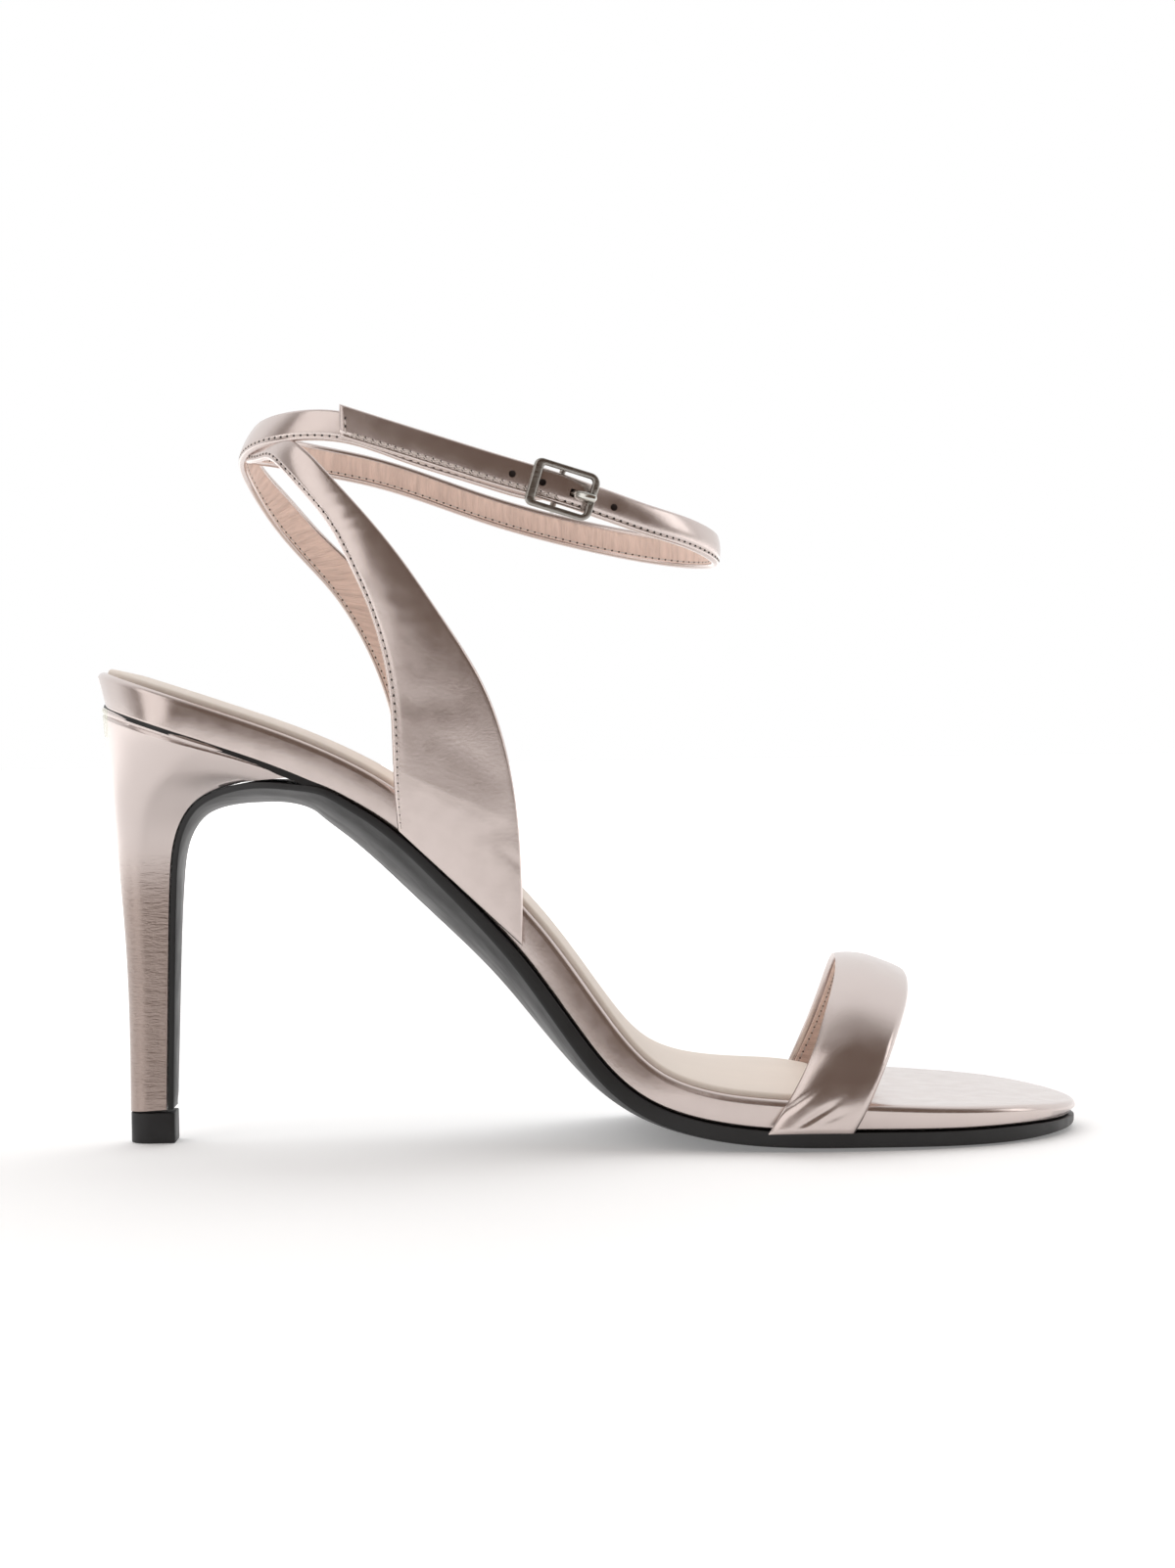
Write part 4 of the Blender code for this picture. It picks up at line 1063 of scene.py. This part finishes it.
def metallic_leather(name, colour, rough, on_heel=False):
    """Foil finished leather: soft waves, fine grain and a thin clear coat.

    On the heel it has cross wrinkles and painted shade that darkens it low down,
    and the cream glue edge at the top of the back.
    """
    finish, tree, shader, where = new_finish(name, colour, rough, FOIL)
    tone = tinted(tree, colour, noise(tree, where, 60.0), 0.97, 1.02)
    normal = bump(tree, noise(tree, where, 90.0, 1.0), 0.0002, 0.3)
    if on_heel:
        place = node(tree, "SeparateXYZ", {"Vector": where})
        lines = stretched(tree, where, (260.0, 260.0, 1150.0), 4.0, 0.62)
        low = ranged(tree, place["Z"], 0.006, 0.016, 0.25, 1.0)
        mask = combined(tree, "MULTIPLY", low, ranged(tree, place["Z"], 0.034, 0.074, 1.0, 0.0))
        normal = bump(tree, combined(tree, "MULTIPLY", lines, mask), 0.0008, 0.8, normal)
        dull = ranged(tree, mask, 0.0, 1.0, rough, rough + 0.10)
        # Painted shade: the heel's colour darkens below 50 to 70 mm up, standing in for its darker
        # reflection there.
        low_painted_shade = ranged(tree, place["Z"], 0.050, 0.070, 1.0, 0.0)
        tone = mixed(tree, low_painted_shade, tone, (0.66, 0.60, 0.565, 1.0), "MULTIPLY")
        back = ranged(tree, place["X"], *GLUE_X, 1.0, 0.0)
        glue = combined(tree, "MULTIPLY", back, ranged(tree, place["Z"], *GLUE_Z, 0.0, 1.0))
        tone = mixed(tree, glue, tone, (0.72, 0.71, 0.60, 1.0))
        feed(shader, {"Metallic": ranged(tree, glue, 0.0, 1.0, FOIL, 0.0)})
    else:
        dull = ranged(tree, noise(tree, where, 240.0), 0.3, 0.7, rough - 0.02, rough + 0.04)
    normal = bump(tree, noise(tree, where, 1300.0, 4.0, 0.6), 0.00005, 0.25, normal)
    feed(shader, {"Base Color": tone, "Roughness": dull, "Normal": normal})
    feed(shader, {"Coat Weight": 0.25, "Coat Roughness": 0.22})
    return finish


def lining_leather(name, colour):
    """Matte lining with fine wrinkles across the strap, placed by the piece's lay, with painted shade in
    the wrinkles' troughs.
    """
    finish, tree, shader, where = new_finish(name, colour, 0.62)
    lay = node(tree, "Attribute", attribute_name="lay")["Vector"]
    folds = stretched(tree, lay, (820.0, 110.0, 1.0), 3.0, 0.55)
    normal = bump(tree, noise(tree, where, 2600.0), 0.00005, 0.5, bump(tree, folds, 0.0009, 0.8))
    # Painted shade: the colour darkens where the folds sink and lightens on their crests.
    feed(shader, {"Base Color": tinted(tree, colour, folds, 0.84, 1.06), "Normal": normal})
    feed(shader, {"Sheen Weight": 0.08})
    return finish


def sock_leather(name, colour):
    """Smooth beige sock with faint pores and soft handling marks."""
    finish, tree, shader, where = new_finish(name, colour, 0.58)
    marks, pores = noise(tree, where, 40.0, 4.0), noise(tree, where, 3000.0, 2.0)
    normal = bump(tree, pores, 0.00005, 0.4, bump(tree, marks, 0.0004, 0.25))
    feed(shader, {"Base Color": tinted(tree, colour, marks, 0.965, 1.02), "Normal": normal})
    return finish


def sole_black(name, colour, rough, scuffs):
    """Black sole or tip with faint scuffs and an uneven gloss."""
    finish, tree, shader, where = new_finish(name, colour, rough)
    rub = stretched(tree, where, (90.0, 300.0, 90.0), 5.0, 0.6)
    dull = ranged(tree, rub, 0.35, 0.7, rough - 0.03, rough + scuffs)
    feed(shader, {"Base Color": tinted(tree, colour, rub, 0.85, 1.35), "Roughness": dull})
    feed(shader, {"Normal": bump(tree, noise(tree, where, 1500.0, 2.0), 0.00005, 0.35)})
    return finish


def plated_metal(name, colour, rough):
    """Dark nickel plate with a faint brushed grain."""
    finish, tree, shader, where = new_finish(name, colour, rough, 1.0)
    brushed = stretched(tree, where, (300.0, 300.0, 2600.0))
    dull = ranged(tree, brushed, 0.3, 0.7, rough - 0.04, rough + 0.08)
    feed(shader, {"Base Color": tinted(tree, colour, brushed, 0.92, 1.06), "Roughness": dull})
    feed(shader, {"Normal": bump(tree, brushed, 0.00003, 0.4)})
    return finish


def thread(name, colour):
    """Polyester thread: twisted strands as a fine slanted ripple."""
    finish, tree, shader, where = new_finish(name, colour, 0.5)
    twist = noise(tree, where, 4200.0, 2.0)
    tone = tinted(tree, colour, twist, 0.8, 1.1)
    feed(shader, {"Base Color": tone, "Normal": bump(tree, twist, 0.00008, 0.6)})
    return finish


# Settings


def number_setting(name, text, low, high, value, **more):
    """Property that holds a number."""
    return FloatProperty(name=name, description=text, min=low, max=high, default=value, **more)


def colour_setting(name, text, value):
    """Property that holds a colour."""
    return FloatVectorProperty(
        name=name, description=text, subtype="COLOR", size=3, min=0.0, max=1.0, default=value,
    )


class SandalFinishes(bpy.types.PropertyGroup):
    """Colours and gloss of the sandal's materials."""

    pewter: colour_setting("Metallic leather", "Colour of straps and platform", (0.675, 0.59, 0.56))
    heel: colour_setting("Heel leather", "Colour of the leather on the heel", (0.65, 0.575, 0.55))
    lining: colour_setting("Lining", "Colour of the strap linings", (0.95, 0.74, 0.645))
    sock: colour_setting("Sock", "Colour of the sock under the foot", (0.80, 0.715, 0.635))
    thread: colour_setting("Thread", "Colour of the stitches", (0.74, 0.65, 0.60))
    gloss: number_setting("Leather roughness", "Roughness of the metallic leather", 0.05, 0.8, 0.23)


class SandalSizes(bpy.types.PropertyGroup):
    """Sizes of what is added to the straps."""

    pitch: number_setting(
        "Stitch pitch", "Distance between stitches", 0.0008, 0.005, 0.0017, unit="LENGTH",
    )
    inset: number_setting(
        "Stitch inset", "Distance of the stitches from the edge", 0.0005, 0.003, 0.0012, unit="LENGTH",
    )
    press: number_setting("Crease depth", "Factor on the depth of every crease", 0.0, 3.0, 1.0)


class SandalStage(bpy.types.PropertyGroup):
    """Floor, backdrop and light."""

    floor: colour_setting("Floor", "Colour of the floor", (0.93, 0.93, 0.93))
    key: number_setting(
        "Top light", "Power of the soft box overhead", 0.0, 500.0, 11.0, subtype="POWER",
    )
    left: number_setting(
        "Left light", "Power of the soft box behind the heel", 0.0, 500.0, 2.4, subtype="POWER",
    )


def settings():
    """The three groups of settings."""
    scene = bpy.context.scene
    return scene.sandal_finishes, scene.sandal_sizes, scene.sandal_stage


def finish_of(name):
    """Material of that name, made at its first use."""
    if name in bpy.data.materials:
        return bpy.data.materials[name]
    tones = settings()[0]
    maker, *values = {
        "rose pewter leather": (metallic_leather, tones.pewter, tones.gloss),
        "heel cover leather": (metallic_leather, tones.heel, tones.gloss + 0.03, True),
        "pink lining leather": (lining_leather, tones.lining),
        "beige sock leather": (sock_leather, tones.sock),
        "black sole edge": (sole_black, (0.008, 0.008, 0.0085), 0.40, 0.10),
        "heel tip rubber": (sole_black, (0.011, 0.011, 0.012), 0.48, 0.15),
        "dark nickel": (plated_metal, (0.36, 0.345, 0.32), 0.30),
        "bright nickel": (plated_metal, (0.70, 0.70, 0.66), 0.22),
        "leather thread": (thread, tones.thread),
        # Dark finish of the needle holes and hole cores: painted shade in the holes.
        "needle hole": (sole_black, (0.02, 0.012, 0.010), 0.8, 0.05),
    }[name]
    return maker(name, *values)


# Operators


class SANDAL_OT_outsole(bpy.types.Operator):
    """Black sole with its heel flap, and the rand that shows above the heel"""

    bl_idname = "sandal.outsole"
    bl_label = "Outsole"

    def execute(self, context):
        line = bed_line()
        make_piece("sole", outsole_shape(sole_line(line)), "black sole edge", ["outsole"])
        make_piece("seat_rand", seat_seam_shape(line), "black sole edge")
        return {"FINISHED"}


class SANDAL_OT_heel(bpy.types.Operator):
    """Leather covered heel and its tip"""

    bl_idname = "sandal.heel"
    bl_label = "Heel"

    def execute(self, context):
        line = bed_line()
        shape = heel_shape(line, sole_line(line))
        make_piece("heel_cover", shape, "heel cover leather", ["heel"])
        make_piece("heel_tip", top_piece_shape(), "heel tip rubber", ["top_piece"])
        return {"FINISHED"}


class SANDAL_OT_insole(bpy.types.Operator):
    """Insole wrapped in metallic leather, and the beige sock on it"""

    bl_idname = "sandal.insole"
    bl_label = "Insole and sock"

    def execute(self, context):
        line = bed_line()
        make_piece("platform", insole_shape(line), "rose pewter leather", ["insole"])
        make_piece("sock", sock_shape(line), "beige sock leather", ["sock_lining"])
        return {"FINISHED"}


class SANDAL_OT_toe_strap(bpy.types.Operator):
    """Soft strap over the toes with its lining"""

    bl_idname = "sandal.toe_strap"
    bl_label = "Toe strap"

    def execute(self, context):
        strap = toe_strap()
        press = settings()[1].press

        def relief(share, gap, wide, length):
            puff = 0.6 - 1.5 * np.clip(1 - gap / 8.0, 0, 1) ** 2
            puff -= 0.3 * np.clip(1 - (wide - gap) / 4.5, 0, 1) ** 2
            return puff - press * pressed(TOE_CREASES, share, gap, wide, length)

        half = strap["thick"] / 2
        shape = band(strap, 0.0, 1.0, half, -half, 190, 1.5, relief=relief, across=40)
        make_piece("toe_band", shape, "rose pewter leather", ["toe_strap"])
        make_piece("toe_lining", lining_shape(strap, *TOE_LINING), "pink lining leather")
        return {"FINISHED"}


class SANDAL_OT_quarters(bpy.types.Operator):
    """Both quarters with the ankle strap, their linings and punched holes"""

    bl_idname = "sandal.quarters"
    bl_label = "Quarters and ankle strap"

    def execute(self, context):
        sizes = settings()[1]

        def relief(share, gap, wide, length):
            groove = STITCH_GROOVE * bump_curve(gap - sizes.inset / MM, 0.32)
            return -groove - sizes.press * pressed(WING_CREASES, share, gap, wide, length)

        half = STRAP_THICK / 2
        for name, strap in (("outer_quarter", lateral_strap()), ("inner_quarter", medial_strap())):
            shape = band(strap, 0.0, 1.0, half, -half, 620, 0.75, relief=relief, across=34)
            piece = make_piece(name, shape, "rose pewter leather", ["upper"])
            shape = lining_shape(strap, *QUARTER_LINING)
            make_piece(name + "_lining", shape, "pink lining leather")
            if name == "outer_quarter":
                for shape in hole_fillings(*PUNCHES):
                    cut(piece, shape)
        folds = join_shapes(collar_shape(low, high, SLEEVE_OUTER) for low, high in SLEEVE_ENDS)
        make_piece("buckle_fold", folds, "rose pewter leather", ["upper"])
        return {"FINISHED"}


class SANDAL_OT_stitches(bpy.types.Operator):
    """Stitches and needle holes along the straps, outside and inside"""

    bl_idname = "sandal.stitches"
    bl_label = "Stitches"

    def execute(self, context):
        sizes = settings()[1]
        pitch, inset = sizes.pitch / MM, sizes.inset / MM
        lateral, medial, toe = lateral_strap(), medial_strap(), toe_strap()
        half, toe_half = STRAP_THICK / 2, TOE_STRAP_THICK / 2
        rows = [
            (lateral, 0.004, 0.995, inset, half - 0.10),
            (medial, 0.004, 0.93, inset, half - 0.10),
            (lateral, 0.02, 0.97, inset, -half - 0.10),
            (medial, 0.02, 0.93, inset, -half - 0.10),
            (toe, 0.03, 0.97, 2.4, -toe_half - 0.16),
            (toe, 0.03, 0.97, -2.4, -toe_half - 0.16),
        ]
        rows = [(strap, [(start, gap), (end, gap)], height) for strap, start, end, gap, height in rows]
        rows.append((lateral, [(0.9955, inset), (0.9955, 7.1 - inset)], half - 0.04))
        threads, holes = [], []
        for strap, line, height in rows:
            places, ahead, out = stitch_places(strap, line, pitch, height)
            out = out * math.copysign(1.0, height)
            threads.append(beads(places, ahead, out, 0.74 * pitch, 0.40, 0.36, 7.0))
            # Dark lumps between the stitches: painted shade of the needle holes.
            holes.append(beads(places + ahead * pitch / 2, ahead, out, 0.60, 0.52, 0.24, rings=4))
        crossed = [(0.862, inset + 0.35), (0.993, inset + 0.35)]
        places, ahead, out = stitch_places(lateral, crossed, pitch, half + 0.10)
        # Dark lumps under the crossed stitches: painted shadows between them.
        low = places - out * 0.10 - ahead * pitch / 4
        holes.append(beads(low, ahead, out, 0.62, 0.95, 0.22, rings=4))
        for tilt, slide in ((30.0, 0.25), (-30.0, -0.25)):
            moved = places + ahead * slide * pitch
            threads.append(beads(moved, ahead, out, 1.12 * pitch, 0.38, 0.36, tilt))
        make_piece("stitches", join_shapes(threads), "leather thread")
        # The dark lumps and the cores in the punched holes are painted shade.
        shape = join_shapes(holes + hole_fillings(*HOLE_SHADE_CORES))
        make_piece("needle_holes", shape, "needle hole")
        return {"FINISHED"}


class SANDAL_OT_buckle(bpy.types.Operator):
    """Buckle frame with its hinge bar, and the prong"""

    bl_idname = "sandal.buckle"
    bl_label = "Buckle"

    def execute(self, context):
        shape = join_shapes([buckle_frame_shape(), hinge_bar_shape()])
        make_piece("frame", shape, "dark nickel", ["buckle_frame"])
        shape = join_shapes([prong_shape(), collar_shape(-0.85, 0.85, 1.55)])
        make_piece("prong", shape, "bright nickel", ["buckle_prong"])
        return {"FINISHED"}


class SANDAL_OT_stage(bpy.types.Operator):
    """Pale floor, soft boxes, studio world and the camera at the photo's angle"""

    bl_idname = "sandal.stage"
    bl_label = "Stage"

    def execute(self, context):
        make_floor()
        make_world()
        make_lights()
        make_camera()
        return {"FINISHED"}


def make_floor(reach=4.0, rings=40, around=96):
    """Pale round floor: a disc just under z = 0 that ends not far before the sandal."""
    radius = reach * np.linspace(0.0, 1.0, rings + 1)[1:, None]
    turn = circle(around)
    x, y = radius * np.cos(turn), radius * np.sin(turn)
    verts = np.stack([x, y + FLOOR_BACK, 0 * x - 0.00005], axis=-1).reshape(-1, 3)
    verts = np.concatenate([verts, [(0.0, FLOOR_BACK, -0.00005)]])
    index, faces = tube(rings, around)
    faces += [(index.size, int(a), int(b)) for a, b in zip(index[0], np.roll(index[0], -1))]
    mesh = bpy.data.meshes.new("floor")
    mesh.from_pydata(verts.tolist(), [], faces)
    colour = settings()[2].floor
    finish, tree, shader, where = new_finish("pale floor", colour, 0.75)
    away = node(tree, "VectorMath", {0: where}, operation="LENGTH")["Value"]
    feed(shader, {
        "Base Color": tinted(tree, colour, noise(tree, where, 6.0), 0.985, 1.0),
        "Emission Color": WHITE,
        "Emission Strength": ranged(tree, away, 0.20, 1.0, 0.20, 0.9),
    })
    mesh.materials.append(finish)
    new_object("floor", mesh)


def make_world():
    """White studio that is dark above the horizon on the camera's side."""
    world = bpy.data.worlds.new("studio")
    world.use_nodes = True
    bpy.context.scene.world = world
    tree = world.node_tree
    where = node(tree, "TexCoord")["Generated"]
    parts = node(tree, "SeparateXYZ", {"Vector": where})
    depth = ranged(tree, parts["Y"], -0.45, 0.35, 0.0, 1.0)
    rise = ranged(tree, parts["Z"], 0.80, 1.0, 0.0, 0.30)
    floor_side = ranged(tree, parts["Z"], -0.55, -0.30, 1.0, 0.0)
    light = combined(tree, "MAXIMUM", combined(tree, "MAXIMUM", depth, rise), floor_side)
    colour = mixed(tree, light, (0.15, 0.104, 0.080, 1.0), WHITE)
    seen = node(tree, "LightPath")["Is Camera Ray"]
    feed(tree.nodes["Background"], {"Color": mixed(tree, seen, colour, WHITE), "Strength": 1.0})


def make_lights():
    """Soft boxes overhead, behind the heel and past the toe, turned to the sandal.

    The one overhead doesn't show in the leather.
    """
    stage = settings()[2]
    boxes = (
        ("top box", (0.0, 1.0, 1.35), 2.2, 1.4, stage.key),
        ("left box", (-0.90, -0.80, 0.70), 0.9, 1.8, 2.3 * stage.left),
        ("right box", (1.2, -0.25, 0.5), 0.4, 0.7, 0.5 * stage.left),
    )
    for name, at, wide, tall, power in boxes:
        lamp = bpy.data.lights.new(name, "AREA")
        lamp.shape = "RECTANGLE"
        lamp.size, lamp.size_y = wide, tall
        lamp.energy = power
        item = new_object(name, lamp)
        item.location = at
        item.visible_glossy = name != "top box"
        item.rotation_mode = "QUATERNION"
        item.rotation_quaternion = (Vector((0.0, 0.0, 0.05)) - Vector(at)).to_track_quat("-Z", "Y")


def make_camera():
    """Camera at the photo's place, turned by its yaw, its dip and its roll."""
    yaw, dip, roll = (math.radians(a) for a in (CAMERA_YAW, CAMERA_DIP, CAMERA_ROLL))
    data = bpy.data.cameras.new("camera")
    data.sensor_width = SENSOR
    data.lens = SENSOR * CAMERA_FOCAL / PICTURE_TALL
    camera = new_object("camera", data)
    turn = Matrix.Rotation(yaw, 4, "Z") @ Matrix.Rotation(math.pi / 2 - dip, 4, "X")
    place = (Vector(CAMERA_AT) + Vector((*CENTRE_SHIFT, 0.0))) * MM
    camera.matrix_world = Matrix.Translation(place) @ turn @ Matrix.Rotation(roll, 4, "Z")
    bpy.context.scene.camera = camera
    bpy.context.scene.view_settings.view_transform = "Standard"


# Add-on


STEPS = (
    SANDAL_OT_outsole,
    SANDAL_OT_heel,
    SANDAL_OT_insole,
    SANDAL_OT_toe_strap,
    SANDAL_OT_quarters,
    SANDAL_OT_stitches,
    SANDAL_OT_buckle,
    SANDAL_OT_stage,
)


class SANDAL_PT_panel(bpy.types.Panel):
    """Lists the sandal's settings and its steps."""

    bl_idname = "SANDAL_PT_panel"
    bl_label = "Sandal"
    bl_space_type = "VIEW_3D"
    bl_region_type = "UI"
    bl_category = "Sandal"

    def draw(self, context):
        layout = self.layout
        for group in settings():
            box = layout.box()
            for name in group.__annotations__:
                box.prop(group, name)
        for step in STEPS:
            layout.operator(step.bl_idname)


GROUPS = (
    ("sandal_finishes", SandalFinishes),
    ("sandal_sizes", SandalSizes),
    ("sandal_stage", SandalStage),
)


def register():
    """Register the settings, the steps and the panel."""
    for name, group in GROUPS:
        bpy.utils.register_class(group)
        setattr(bpy.types.Scene, name, PointerProperty(type=group))
    for item in (*STEPS, SANDAL_PT_panel):
        bpy.utils.register_class(item)


def unregister():
    """Take them all away again."""
    for item in (SANDAL_PT_panel, *STEPS[::-1]):
        bpy.utils.unregister_class(item)
    for name, group in GROUPS[::-1]:
        delattr(bpy.types.Scene, name)
        bpy.utils.unregister_class(group)


def main():
    register()
    for step in STEPS:
        group, name = step.bl_idname.split(".")
        getattr(getattr(bpy.ops, group), name)()


if __name__ == "__main__":
    main()
